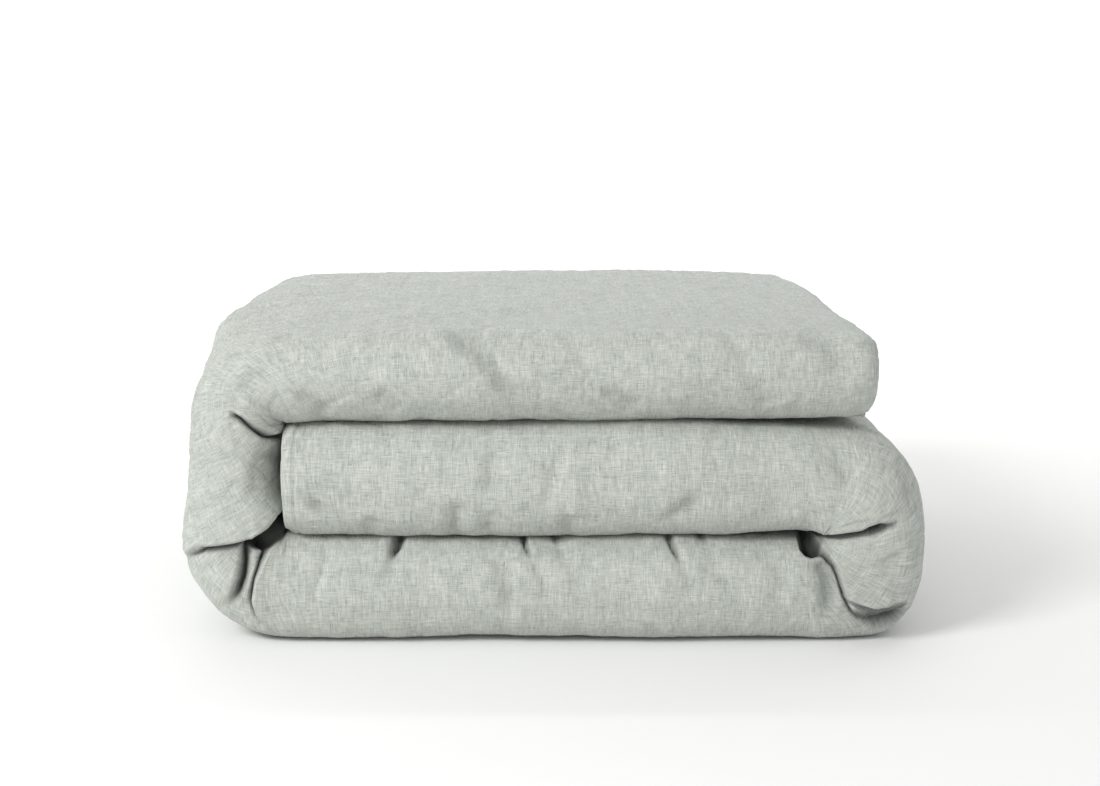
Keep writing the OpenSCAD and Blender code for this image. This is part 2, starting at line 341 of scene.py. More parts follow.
def superellipse(P, cx, cz, R, p_hi, p_lo, side):
    """Fuller corners: moves points out from a circle of radius R towards a superellipse, on one side of x = cx."""
    dx, dz = P[..., 0] - cx, P[..., 2] - cz
    r = np.hypot(dx, dz)
    th = np.arctan2(dz, dx * side)
    p = np.where(dz > 0, p_hi, p_lo)
    sup = (np.abs(np.cos(th)) ** p + np.abs(np.sin(th)) ** p) ** (-1 / p)
    m = sstep(-0.004, 0.02, dx * side)
    g = 1 + (sup - 1) * np.clip(r / R, 0, 1) ** 2 * m
    P[..., 0] = cx + dx * g
    P[..., 2] = cz + dz * g


def warp(P, s):
    """Shapes the folded stack as it settles."""
    P = P.copy()
    y = P[..., 1]
    S = np.broadcast_to(s[None, :], y.shape)
    deep = sstep(Y_F + 0.05, Y_F + 0.26, y)
    # fuller corners at the right fold, in the lower two thirds only
    Q = P.copy()
    superellipse(Q, X_R, Z_CR, R_R + 0.0525, 2.48, 3.5, 1)
    m = (P[..., 0] > X_R - 0.01) & (P[..., 2] < Z_MID + H_MID + 0.002)
    P[m] = Q[m]
    # fuller shoulder at the upper left, more so behind the front
    Q = P.copy()
    superellipse(Q, X_L, Z_UP - R_L, R_L + 0.0518, 1.92 + 2.1 * deep, 2.0, -1)
    m = (P[..., 0] < X_L) & (P[..., 2] > Z_UP - R_L)
    P[m] = Q[m]
    x, z = P[..., 0], P[..., 2]
    # the sides belly out behind the front corners
    belly = sstep(Y_F + 0.03, Y_F + 0.30, y) * (1 - 0.45 * sstep(Y_B - 0.20, Y_B, y))
    P[..., 0] -= belly * sstep(X_L + 0.02, X_L - 0.09, x) * (0.0060 + 0.0015 * sstep(0.10, 0.22, z) + 0.0150 * sstep(0.266, 0.310, z))
    # the left wall leans in towards the top
    lean = np.interp(z, [0.105, 0.16, 0.21, 0.235, 0.262, 0.285, 0.305, 0.322], [0.0, 0.0052, 0.0088, 0.0080, 0.0046, 0.0060, 0.0038, 0.0])
    P[..., 0] += lean * sstep(X_L, X_L - 0.09, x)
    P[..., 0] += 0.006 * belly * sstep(X_R + 0.02, X_R + 0.10, x) * sstep(0.24, 0.20, z)
    # the underside of the upper third's front turns in towards the seam
    tuck = sstep(A5 - 0.02, A6 + 0.06, S) * sstep(Y_F + 0.10, Y_F + 0.02, y) * sstep(Z_UP + 0.012, Z_UP - H_UP, z)
    P[..., 1] += 0.0090 * tuck
    # the seams between the thirds lie higher at the front than further in
    lift = np.interp(z, [0.0, 2 * H_LOW, 2 * H_LOW + 2 * H_MID, TOP - 0.002], [0.0, 0.0065, 0.0115, 0.0])
    P[..., 2] = z + lift * sstep(Y_F + 0.24, Y_F + 0.06, y)
    # at the front the tucked end closes up to the left fold
    f = sstep(Y_F + 0.095, Y_F + 0.055, y)
    P[..., 0] -= 0.0110 * f * sstep(0.06, 0.0, S)
    wall = sstep(A_L0, A_L0 + 0.04, S) * sstep(A_L1, A_L1 - 0.04, S)
    P[..., 0] -= 0.0012 * f * wall
    # the top sinks towards the left and at the back corners
    x, z = P[..., 0], P[..., 2]
    top = sstep(Z_UP - H_UP * 0.6, Z_UP + H_UP, z)
    P[..., 2] = z - top * (0.0060 * sstep(-0.05, -0.36, x) + 0.006 * sstep(0.18, 0.33, x) * sstep(0.05, 0.34, y))
    # the middle third falls away under the free end of the upper one
    x, z = P[..., 0], P[..., 2]
    fall = sstep(A1 + 0.10, A1 - 0.02, S) * sstep(Z_MID + 0.01, Z_MID + H_MID, z) * sstep(Y_F + 0.20, Y_F + 0.05, y)
    P[..., 2] = z - 0.0026 * fall * sstep(0.205, 0.275, x)
    # the side seams wander in and out a little
    back = sstep(Y_B - 0.14, Y_B, y)
    P[..., 1] -= back * (0.006 + 0.006 * np.sin(S * 9.0 + 1.0) + 0.003 * np.sin(S * 23.0 + 4.0 * np.sign(P[..., 2] - Z_MID)))
    # the free end draws in a little, most at the back corner
    free = sstep(S_TOTAL - 0.10, S_TOTAL, S)
    P[..., 0] -= free * (0.0075 + 0.004 * sstep(-0.32, 0.0, y) + 0.010 * sstep(0.10, 0.34, y))
    return P


def place(Y, Nn, s):
    C, N, T = path(s)
    P = np.zeros(Y.shape + (3,))
    P[..., 0] = C[None, :, 0] + Nn * N[None, :, 0]
    P[..., 2] = C[None, :, 1] + Nn * N[None, :, 1]
    P[..., 1] = Y
    return P


# ---------------------------------------------------------------- creases, in the x-z plane of the front

def crease_field(x, z, line, width, depth=0.0, left=0.0, right=0.0, reach=0.03, fade=(0.25, 0.25), curve=1.0, lap=0.0):
    """Displacement of a crease along a polyline in x-z, its painted shade (how much the valley's colour is darkened),
    and the sideways shift of its leaf.
    depth: how far the valley goes in. left and right: how far each side rises beside it, as seen walking from the first
    point to the last with +Z up; the rise fades over reach. lap: how far the left side hangs over the valley."""
    line = np.asarray(line, float)
    seg = np.hypot(*np.diff(line, axis=0).T)
    cum = np.concatenate([[0], np.cumsum(seg)])
    best = np.full(x.shape, 1e9)
    side = np.zeros(x.shape)
    along = np.zeros(x.shape)
    lx, lz = np.zeros(x.shape), np.zeros(x.shape)
    for k in range(len(seg)):
        ax, az = line[k]
        bx, bz = line[k + 1]
        ux, uz = (bx - ax) / seg[k], (bz - az) / seg[k]
        q = np.clip((x - ax) * ux + (z - az) * uz, 0, seg[k])
        px, pz = ax + ux * q, az + uz * q
        d = np.hypot(x - px, z - pz)
        sd = (x - ax) * (-uz) + (z - az) * ux
        m = d < best
        best = np.where(m, d, best)
        side = np.where(m, sd, side)
        along = np.where(m, (cum[k] + q) / cum[-1], along)
        lx, lz = np.where(m, uz, lx), np.where(m, -ux, lz)
    f = np.ones(x.shape)
    if fade[0] > 0:
        f = f * sstep(0, fade[0], along)
    if fade[1] > 0:
        f = f * sstep(1, 1 - fade[1], along)
    bell = np.exp(-(best / width) ** 2 * curve)
    sharp = np.tanh(side / (width * 0.45))
    rise = np.where(side > 0, left, right) * np.exp(-(best / reach) ** 1.5) * np.abs(sharp)
    slide = lap * f * np.where(side > 0, 1, 0) * np.exp(-best / 0.012)
    # painted shade: valleys deeper than 3 mm get their colour darkened along the crease, fading out over about its
    # width
    dark = max(min((depth - 0.003) / 0.010, 1.0), 0.0) * np.exp(-(best / (width * 0.85)) ** 2) * f
    return (-depth * bell + rise) * f, dark, slide * lx, slide * lz


def pit_field(x, z, outline, depth, edge=0.0030):
    """A hole between leaves: goes in by depth inside an outline in x-z. Also gives a mask inside the outline, used as
    painted shade that darkens the hole's colour.
    """
    pts = np.asarray(outline, float)
    inside = np.zeros(x.shape, bool)
    best = np.full(x.shape, 1e9)
    for (ax, az), (bx, bz) in zip(pts, np.roll(pts, -1, axis=0)):
        length = math.hypot(bx - ax, bz - az)
        ux, uz = (bx - ax) / length, (bz - az) / length
        q = np.clip((x - ax) * ux + (z - az) * uz, 0, length)
        best = np.minimum(best, np.hypot(x - ax - ux * q, z - az - uz * q))
        hit = ((az > z) != (bz > z)) & (x < (bx - ax) * (z - az) / (bz - az + 1e-12) + ax)
        inside ^= hit
    best = np.where(inside, best, -best)
    # the second value is the painted shade mask: 1 inside the outline, fading over its edge
    return -depth * sstep(-edge, edge, best), sstep(-1.3 * edge, 0.1 * edge, best)


# The drawing's millimetres on the front plane: x from the middle, z from the floor
def mm(*pts):
    return [(a / 1000.0, b / 1000.0) for a, b in pts]


def sculpt(P, s, K):
    """Moves the face's points: soft bulges everywhere, and the folds and creases of the front. Returns the moved
    points, the unit normals, how far each moved along them, and the painted shade: how much its colour is darkened deep
    in a crease, pit or gap."""
    n = grid_normals(P)
    x, y, z = P[..., 0], P[..., 1], P[..., 2]
    S = np.broadcast_to(s[None, :], x.shape)
    front = sstep(Y_F + 0.085, Y_F + 0.03, y)            # 1 on the front fold
    outer = np.zeros(x.shape)
    outer[:x.shape[0] // 2] = 1
    outer = outer * (1 - front)
    d = np.zeros(x.shape)
    n1, n2, n3, n4, n5 = Noise(11), Noise(23), Noise(37), Noise(51), Noise(67)
    q = np.stack([S, y, 0.6 * z], -1)
    d += 0.0036 * n1(q * [5.0, 4.5, 9.0] + 3.1)
    d += 0.0022 * n2(q * [11.0, 9.0, 17.0] + 7.7)
    # shallow pulls that run across the front, stronger near the seams between the thirds
    d += 0.0011 * n3(np.stack([S * 34, y * 10, z * 9], -1)) * (0.45 + 0.55 * front)
    d += 0.00030 * n4(np.stack([S * 95, y * 70, z * 70], -1))
    # soft ridges and fine crumple, in patches
    r = n4(q * [16.0, 13.0, 22.0] + 2.0 * n2(q * 8.0)[..., None])
    d -= 0.0015 * np.clip(1 - np.abs(r) / 0.16, 0, 1) ** 2 * sstep(0.0, 0.35, n1(q * 3.1 + 9.0))
    r = n5(q * [42.0, 30.0, 46.0] + 1.5 * n3(q * 14.0)[..., None])
    d -= 0.0006 * np.clip(1 - np.abs(r) / 0.2, 0, 1) ** 2 * sstep(-0.1, 0.35, n2(q * 4.3 + 2.0))
    # puckers along the sewn edges, and a low ridge over the seam allowance
    e = np.clip(1.25 - K, 0, 1)
    along = np.where((K < 0.999) & (S < S_TOTAL - END_R), S, 0.6 * y + 0.6 * z)
    pull = n5(np.stack([along * 78, y * 6, z * 9], -1)) + 0.6 * n3(np.stack([along * 150 + 3, y * 9, z * 9], -1))
    d += 0.0022 * e * pull
    d += 0.0024 * np.exp(-((K - 0.50) / 0.16) ** 2) * n1(np.stack([along * 26, y * 5, z * 9 + 4], -1))
    # the hem's edge at the opening
    d -= 0.0012 * np.exp(-((S - HEM) / 0.0012) ** 2)
    d += 0.0005 * sstep(HEM, HEM - 0.002, S)
    for ax, ay, bx, by, s0, s1, width, depth in DRAPES:
        vx, vy = bx - ax, by - ay
        q = np.clip(((S - ax) * vx + (y - ay) * vy) / (vx * vx + vy * vy), 0, 1)
        r = np.hypot(S - ax - q * vx, y - ay - q * vy)
        d += depth * np.exp(-(r / width) ** 2) * sstep(0, 0.3, q) * sstep(1, 0.7, q) * sstep(s0 - 0.02, s0 + 0.02, S) * sstep(s1 + 0.02, s1 - 0.02, S) * outer
    # painted shade: how much the cloth's colour is darkened in crease valleys, pits and gaps where little light reaches
    painted_shade = np.zeros(x.shape)
    sx, sz = np.zeros(x.shape), np.zeros(x.shape)
    for line, opts in CREASES:
        opts = dict(opts)
        s0, s1 = opts.pop("span")
        m = sstep(s0 - 0.02, s0 + 0.02, S) * sstep(s1 + 0.02, s1 - 0.02, S) * front
        if m.max() <= 0:
            continue
        dd, dark, ax, az = crease_field(x, z, line, **opts)
        d += dd * m
        painted_shade = np.maximum(painted_shade, dark * m)
        sx += ax * m
        sz += az * m
    # pits go in, and their insides take full painted shade
    for outline, depth, s0, s1 in PITS:
        m = sstep(s0 - 0.02, s0 + 0.02, S) * sstep(s1 + 0.02, s1 - 0.02, S) * front
        dd, dark = pit_field(x, z, outline, depth)
        d = d * (1 - m * dd / -depth) + dd * m
        painted_shade = np.maximum(painted_shade, dark * m)
    # gaps darkened by painted shade only, the shape unchanged
    for outline, s0, s1, strength, edge in SHADES:
        m = sstep(s0 - 0.02, s0 + 0.02, S) * sstep(s1 + 0.02, s1 - 0.02, S) * sstep(Y_F + 0.12, Y_F + 0.08, y)
        painted_shade = np.maximum(painted_shade, strength * pit_field(x, z, outline, 1.0, edge)[1] * m)
    d = d * (0.25 + 0.75 * K)
    out = P + n * d[..., None]
    out[..., 0] += sx
    out[..., 2] += sz
    return out, n, d, painted_shade


A0, A1, A2, A3, A4, A5, A6 = ENDS[0], ENDS[1], ENDS[2], ENDS[3], ENDS[4], ENDS[5], ENDS[6]
CREASES = [
    # pinch at the upper left
    (mm((-316, 237), (-304, 231), (-290, 220), (-277, 210), (-265, 206)), dict(width=0.0028, depth=0.015, left=0.0050, right=-0.003, reach=0.020, fade=(0.20, 0), span=(A4, A6 + 0.2), lap=0.002)),
    # left fold over the lower left corner
    (mm((-372, 76), (-362, 90), (-346, 101), (-318, 105), (-297, 109), (-281, 117), (-265, 134)), dict(width=0.0030, depth=0.016, left=0.0066, right=-0.006, reach=0.026, fade=(0.34, 0), span=(A3 - 0.01, A6), lap=0.003)),
    # pleats of the lower left corner
    (mm((-301, 104), (-303, 88), (-307, 70), (-314, 54), (-326, 34)), dict(width=0.0048, depth=0.015, left=0.0040, right=0.001, reach=0.014, fade=(0, 0.40), span=(A3 - 0.08, A4 + 0.08))),
    (mm((-268, 123), (-277, 106), (-287, 87), (-294, 69), (-298, 48), (-295, 30), (-288, 14)), dict(width=0.0024, depth=0.014, left=0.0065, right=-0.005, reach=0.018, fade=(0, 0.30), span=(A3 - 0.10, A4 + 0.06), lap=0.0025)),
    (mm((-268, 116), (-258, 116), (-244, 108)), dict(width=0.0085, depth=-0.0085, left=0.0, right=0.0, reach=0.012, fade=(0.0, 0.4), span=(A3 - 0.12, A3 + 0.01))),
    # right fold: the crease beside the seam
    (mm((252, 110), (268, 111), (284, 113), (302, 117), (321, 123), (344, 128)), dict(width=0.0034, depth=0.018, left=0.0052, right=-0.003, reach=0.024, fade=(0.22, 0.30), span=(A1 - 0.08, A2 + 0.08), lap=0.0025)),
    # right fold: the edge of the leaf over the lower third
    (mm((259, 99), (269, 94), (277, 83), (283, 67), (288, 51), (297, 34), (311, 23), (330, 17)), dict(width=0.0022, depth=0.011, left=0.0070, right=-0.0035, reach=0.020, fade=(0, 0.2), span=(A1, A2 + 0.10), lap=0.002)),
    # right fold: the small lip near its foot
    (mm((288, 50), (301, 44), (317, 38), (332, 38), (347, 45)), dict(width=0.0028, depth=0.008, left=0.0055, right=-0.003, reach=0.012, fade=(0.1, 0.25), span=(A1, A2 + 0.05))),
    (mm((305, 29), (322, 21), (342, 23), (356, 36)), dict(width=0.0085, depth=0.0125, left=0.0010, right=0.002, reach=0.02, fade=(0.2, 0.3), span=(A1, A2 + 0.05))),
    (mm((303, 117), (314, 121), (328, 126)), dict(width=0.0048, depth=0.016, left=0.002, right=0.0, reach=0.012, fade=(0.35, 0.35), span=(A1 - 0.08, A2 + 0.08))),
    # right fold: soft dents of the leaf
    (mm((352, 92), (330, 84), (312, 82)), dict(width=0.011, depth=0.0035, left=0.0, right=0.0, reach=0.02, fade=(0.3, 0.4), span=(A1, A2))),
    (mm((338, 200), (346, 176), (352, 150), (352, 132)), dict(width=0.009, depth=0.0035, left=0.0, right=0.0015, reach=0.02, fade=(0.4, 0.3), span=(A1, A2))),
    # lower third: it dips under the corner of the tucked end
    (mm((-262, 115), (-244, 116), (-220, 117)), dict(width=0.0048, depth=0.0100, left=0.0, right=0.0, reach=0.010, fade=(0.15, 0.4), span=(A2, A3 + 0.02))),
    # lower third: pleats under the seam
    (mm((-143, 116), (-149, 110), (-158, 98), (-162, 82)), dict(width=0.0042, depth=0.013, left=0.001, right=0.002, reach=0.016, fade=(0, 0.55), span=(A2, A3))),
    (mm((-38, 116), (-30, 104), (-20, 84)), dict(width=0.0024, depth=0.009, left=0.003, right=-0.001, reach=0.014, fade=(0, 0.5), span=(A2, A3))),
    (mm((-8, 116), (0, 106), (8, 98)), dict(width=0.0034, depth=0.008, left=0.001, right=0.0, reach=0.012, fade=(0, 0.7), span=(A2, A3))),
    (mm((110, 114), (117, 100), (129, 78)), dict(width=0.0028, depth=0.009, left=0.003, right=-0.001, reach=0.014, fade=(0, 0.5), span=(A2, A3))),
    (mm((139, 115), (146, 106), (152, 98)), dict(width=0.0034, depth=0.008, left=0.001, right=0.0, reach=0.012, fade=(0, 0.7), span=(A2, A3))),
    (mm((265, 92), (271, 62), (273, 18)), dict(width=0.0095, depth=0.0066, left=0.0020, right=0.0, reach=0.016, fade=(0.1, 0.4), span=(A1 + 0.08, A2 + 0.08))),
    # left fold: the soft dent beside the tucked end
    (mm((-270, 206), (-270, 180), (-272, 154), (-282, 134)), dict(width=0.021, depth=0.0056, left=0.0, right=0.0, reach=0.022, fade=(0.25, 0.35), span=(A4, A6))),
    (mm((-294, 190), (-290, 168), (-300, 144)), dict(width=0.009, depth=0.0026, left=0.0, right=0.0014, reach=0.018, fade=(0.4, 0.4), span=(A4, A6))),
    # tucked third: soft folds
    (mm((150, 158), (134, 146), (116, 132), (104, 120)), dict(width=0.009, depth=0.0048, left=0.0, right=0.0012, reach=0.022, fade=(0.4, 0.35), span=(0.05, A1))),
    (mm((-226, 150), (-238, 134)), dict(width=0.012, depth=0.0054, left=0, right=0, reach=0.02, fade=(0.4, 0.4), span=(-0.05, A1))),
    (mm((-84, 150), (-94, 136), (-98, 118)), dict(width=0.0095, depth=0.0048, left=0, right=0.0008, reach=0.02, fade=(0.4, 0), span=(0.0, A1))),
    (mm((-58, 140), (-64, 118)), dict(width=0.0085, depth=0.0039, left=0, right=0, reach=0.02, fade=(0.4, 0), span=(0.0, A1))),
    (mm((-176, 132), (-182, 116)), dict(width=0.009, depth=0.0042, left=0, right=0, reach=0.02, fade=(0.4, 0), span=(0.0, A1))),
    (mm((18, 136), (14, 116)), dict(width=0.010, depth=0.0045, left=0, right=0, reach=0.02, fade=(0.4, 0), span=(0.0, A1))),
    (mm((206, 156), (222, 138), (228, 122)), dict(width=0.010, depth=0.0026, left=0, right=0, reach=0.02, fade=(0.4, 0.5), span=(0.0, A1))),
    # upper third: the long diagonal trough and the ridge beside it
    (mm((-118, 318), (-99, 311), (-73, 295), (-51, 268), (-41, 250), (-36, 240)), dict(width=0.0110, depth=0.0056, left=0.0038, right=-0.0003, reach=0.030, fade=(0.35, 0.25), span=(A6, S_TOTAL))),
    (mm((40, 262), (64, 250), (84, 236)), dict(width=0.010, depth=0.0039, left=0.0012, right=0.0, reach=0.024, fade=(0.4, 0.2), span=(A6, S_TOTAL))),
    (mm((-262, 262), (-236, 246), (-214, 234)), dict(width=0.012, depth=0.0039, left=0.0012, right=0.0, reach=0.022, fade=(0.4, 0.2), span=(A5, S_TOTAL))),
    (mm((-176, 262), (-160, 246), (-150, 234)), dict(width=0.011, depth=0.0039, left=0.0, right=0.0, reach=0.022, fade=(0.4, 0.2), span=(A5, S_TOTAL))),
    (mm((190, 270), (206, 252), (214, 238)), dict(width=0.012, depth=0.0036, left=0.0, right=0.0, reach=0.022, fade=(0.4, 0.2), span=(A5, S_TOTAL))),
    (mm((6, 316), (30, 290), (48, 258)), dict(width=0.012, depth=0.0030, left=0.0016, right=0.0, reach=0.026, fade=(0.4, 0.4), span=(A6, S_TOTAL))),
    (mm((161, 318), (184, 290), (196, 250)), dict(width=0.013, depth=0.0032, left=0.0, right=0.0014, reach=0.026, fade=(0.4, 0.3), span=(A6, S_TOTAL))),
    (mm((236, 318), (266, 300), (290, 268)), dict(width=0.014, depth=0.0040, left=0.0, right=0.0010, reach=0.028, fade=(0.3, 0.3), span=(A6, S_TOTAL))),
    (mm((-307, 248), (-290, 272), (-258, 294)), dict(width=0.011, depth=0.0034, left=0.0012, right=0.0, reach=0.024, fade=(0.4, 0.4), span=(A4, A6 + 0.2))),
    # tucked third: folds from the seam above
    (mm((-52, 208), (-62, 178), (-55, 142)), dict(width=0.011, depth=0.0040, left=0.0018, right=0.0, reach=0.024, fade=(0.4, 0.4), span=(0.0, A1))),
    (mm((6, 200), (-2, 170), (-5, 134)), dict(width=0.010, depth=0.0030, left=0.0, right=0.0012, reach=0.022, fade=(0.4, 0.4), span=(0.0, A1))),
    (mm((270, 208), (283, 180), (291, 150)), dict(width=0.012, depth=0.0036, left=0.0, right=0.0014, reach=0.024, fade=(0.3, 0.4), span=(0.0, A2))),
    # lower third: folds that run down from the pleats
    (mm((-150, 104), (-161, 84), (-168, 56)), dict(width=0.010, depth=0.0034, left=0.0, right=0.0016, reach=0.022, fade=(0.1, 0.5), span=(A2, A3))),
    (mm((-58, 100), (-48, 68), (-36, 30)), dict(width=0.010, depth=0.0046, left=0.0018, right=0.0, reach=0.022, fade=(0.3, 0.3), span=(A2, A3))),
    (mm((-20, 92), (-10, 70), (-2, 46)), dict(width=0.008, depth=0.0034, left=0.0020, right=0.0, reach=0.018, fade=(0.2, 0.4), span=(A2, A3))),
    (mm((4, 104), (18, 80), (32, 54)), dict(width=0.008, depth=0.0034, left=0.0018, right=0.0, reach=0.018, fade=(0.2, 0.4), span=(A2, A3))),
    (mm((124, 90), (133, 72), (141, 46)), dict(width=0.009, depth=0.0036, left=0.0018, right=0.0, reach=0.020, fade=(0.2, 0.4), span=(A2, A3))),
    (mm((150, 100), (166, 76), (178, 48)), dict(width=0.009, depth=0.0032, left=0.0014, right=0.0, reach=0.020, fade=(0.2, 0.4), span=(A2, A3))),
    (mm((-221, 102), (-229, 72), (-232, 42)), dict(width=0.010, depth=0.0030, left=0.0012, right=0.0, reach=0.022, fade=(0.3, 0.4), span=(A2, A3))),
    (mm((214, 102), (222, 72), (223, 34)), dict(width=0.011, depth=0.0032, left=0.0, right=0.0012, reach=0.022, fade=(0.3, 0.4), span=(A2, A3))),
]


# painted shade: gaps between the leaves where hardly any light reaches, darkened in colour only, with no change of
# shape
SHADES = [
    (mm((-291, 103), (-281, 100), (-271, 103), (-264, 111), (-259, 120), (-261, 136), (-270, 130), (-280, 116)), A2 + 0.1, A6, 0.95, 0.0030),
    (mm((250, 107), (258, 106), (264, 99), (262, 94), (254, 93)), A2 - 0.02, A2 + 0.10, 0.97, 0.0040),
    (mm((300, 36), (310, 33), (324, 31), (337, 33), (347, 39), (345, 31), (334, 23), (318, 22), (303, 29)), A1, A2 + 0.06, 0.85, 0.0060),
]
# soft folds away from the front: start and end as length along the stack and place front to back, the stretch they lie in, width and height
DRAPES = [
    (A4 - 0.02, -0.10, A6 + 0.10, 0.02, A3, S_TOTAL, 0.012, 0.0026),
    (A4 - 0.02, -0.07, A6 + 0.06, 0.06, A3, S_TOTAL, 0.010, -0.0022),
    (A3 + 0.02, 0.16, A5 + 0.06, 0.22, A3, S_TOTAL, 0.013, 0.0026),
    (A3 + 0.02, 0.20, A5 + 0.02, 0.28, A3, S_TOTAL, 0.009, -0.0026),
    (A6 + 0.02, -0.24, A6 + 0.30, -0.06, A5, S_TOTAL, 0.016, 0.0030),
    (A6 + 0.16, 0.26, A6 + 0.42, 0.10, A5, S_TOTAL, 0.015, 0.0030),
    (A6 + 0.30, -0.14, A6 + 0.52, -0.22, A5, S_TOTAL, 0.014, -0.0026),
    (A6 + 0.38, 0.02, A6 + 0.56, 0.20, A5, S_TOTAL, 0.013, 0.0026),
    (A1 - 0.06, -0.02, A1 + 0.13, 0.05, 0, A2 + 0.1, 0.011, 0.0034),
    (A1 - 0.02, 0.03, A1 + 0.15, 0.11, 0, A2 + 0.1, 0.009, -0.0026),
    (A1 - 0.04, 0.20, A1 + 0.14, 0.18, 0, A2 + 0.1, 0.012, 0.0034),
]
# holes between the leaves: outline, depth and the stretch they lie in; inside each, the colour is darkened as painted
# shade
PITS = [
    # the gap at the foot of the tucked end, between the left fold and the lower third
    (mm((-303, 105), (-291, 101), (-281, 99), (-277, 101), (-275, 110), (-266, 132), (-277, 120), (-289, 110)), 0.026, A3 - 0.10, A6),
    # the gap at the middle of the right fold
    (mm((246, 108), (252, 108), (258, 105), (263, 99), (262, 95), (257, 93), (251, 94), (247, 99)), 0.028, A2 - 0.02, A2 + 0.10),
]


def build_skin(skin, inset=0.0, s=None):
    s = columns() if s is None else s
    Y, Nn, Yc, Nc, K = section(s, skin)
    K = K * end_share(s)[None, :]
    k = K * (1 - inset / 0.026)
    Y = Yc + (Y - Yc) * k
    Nn = Nc + (Nn - Nc) * k
    P = warp(place(Y, Nn, s), s)
    return s, P, K


def weave_coords(P, s):
    """Lengths along the warp and the weft, for the cloth's own pattern."""
    step = np.linalg.norm(np.diff(P, axis=0), axis=2).mean(1)
    v = np.concatenate([[0], np.cumsum(step)])
    mid = v[len(v) // 2]
    U = np.broadcast_to(s[None, :], P.shape[:2])
    V = np.broadcast_to(v[:, None], P.shape[:2])
    # the cloth lies on the bias round the left corners of the front
    lean = sstep(A3 - 0.06, A4 + 0.02, s) * sstep(A6 + 0.16, A5, s)
    off = 0.07 * np.tanh((V - mid) / 0.07)
    run = np.concatenate([[0], np.cumsum(0.5 * (lean[1:] + lean[:-1]) * np.diff(s))])
    front = np.exp(-((V - mid) / 0.16) ** 4)
    turn = (sstep(A1 - 0.05, A1 + 0.01, s) * sstep(A2 + 0.05, A2 - 0.01, s))[None, :] * np.exp(-((V - mid) / 0.10) ** 4)
    q = np.stack([P[..., 0], P[..., 1], P[..., 2]], -1)
    sway, shift = Noise(83)(q * 17.0), Noise(89)(q * 14.0 + 5.0)
    U = U - 0.55 * off * lean[None, :] + (0.010 * sway - 0.16 * (V - mid)) * turn
    return U, V + 0.55 * (run[None, :] - 0.5 * run[-1]) * front + 0.009 * shift * turn


def fold_weight(s):
    """0 on the base, 1 on the upper third, turning through the left fold."""
    return sstep(A3 - 0.0, A6 + 0.0, s)


# ---------------------------------------------------------------- materials

def new_material(name):
    m = bpy.data.materials.new(name)
    m.use_nodes = True
    nt = m.node_tree
    nt.nodes.clear()
    out = nt.nodes.new("ShaderNodeOutputMaterial")
    bsdf = nt.nodes.new("ShaderNodeBsdfPrincipled")
    nt.links.new(bsdf.outputs[0], out.inputs[0])
    return m, nt, bsdf


class Nodes:
    """Short calls for building a node tree."""

    def __init__(self, nt):
        self.nt = nt

    def link(self, a, b):
        self.nt.links.new(a, b)

    def put(self, socket, value):
        if isinstance(value, bpy.types.NodeSocket):
            self.link(value, socket)
        else:
            socket.default_value = value

    def math(self, op, a, b=0.0, c=0.0, clamp=False):
        n = self.nt.nodes.new("ShaderNodeMath")
        n.operation = op
        n.use_clamp = clamp
        self.put(n.inputs[0], a)
        self.put(n.inputs[1], b)
        if len(n.inputs) > 2:
            self.put(n.inputs[2], c)
        return n.outputs[0]

    def attribute(self, name):
        n = self.nt.nodes.new("ShaderNodeAttribute")
        n.attribute_name = name
        return n.outputs["Vector"]

    def value(self, name):
        n = self.nt.nodes.new("ShaderNodeAttribute")
        n.attribute_name = name
        return n.outputs["Fac"]

    def object_coords(self):
        return self.nt.nodes.new("ShaderNodeTexCoord").outputs["Object"]

    def scaled(self, vector, scale, offset=(0, 0, 0)):
        n = self.nt.nodes.new("ShaderNodeMapping")
        self.link(vector, n.inputs["Vector"])
        n.inputs["Scale"].default_value = scale
        n.inputs["Location"].default_value = offset
        return n.outputs["Vector"]

    def noise(self, vector, scale=1.0, detail=2.0, rough=0.5, distortion=0.0):
        n = self.nt.nodes.new("ShaderNodeTexNoise")
        self.link(vector, n.inputs["Vector"])
        n.inputs["Scale"].default_value = scale
        n.inputs["Detail"].default_value = detail
        n.inputs["Roughness"].default_value = rough
        n.inputs["Distortion"].default_value = distortion
        return n.outputs["Fac"]

    def maprange(self, v, a, b, c=0.0, d=1.0, smooth=False):
        n = self.nt.nodes.new("ShaderNodeMapRange")
        if smooth:
            n.interpolation_type = "SMOOTHSTEP"
        self.put(n.inputs["Value"], v)
        n.inputs["From Min"].default_value = a
        n.inputs["From Max"].default_value = b
        n.inputs["To Min"].default_value = c
        n.inputs["To Max"].default_value = d
        return n.outputs["Result"]

    def mix(self, fac, a, b):
        n = self.nt.nodes.new("ShaderNodeMix")
        n.data_type = "RGBA"
        self.put(n.inputs[0], fac)
        self.put(n.inputs[6], a)
        self.put(n.inputs[7], b)
        return n.outputs[2]

    def bump(self, height, strength, distance, normal=None):
        n = self.nt.nodes.new("ShaderNodeBump")
        n.inputs["Strength"].default_value = strength
        n.inputs["Distance"].default_value = distance
        self.link(height, n.inputs["Height"])
        if normal is not None:
            self.link(normal, n.inputs["Normal"])
        return n.outputs["Normal"]


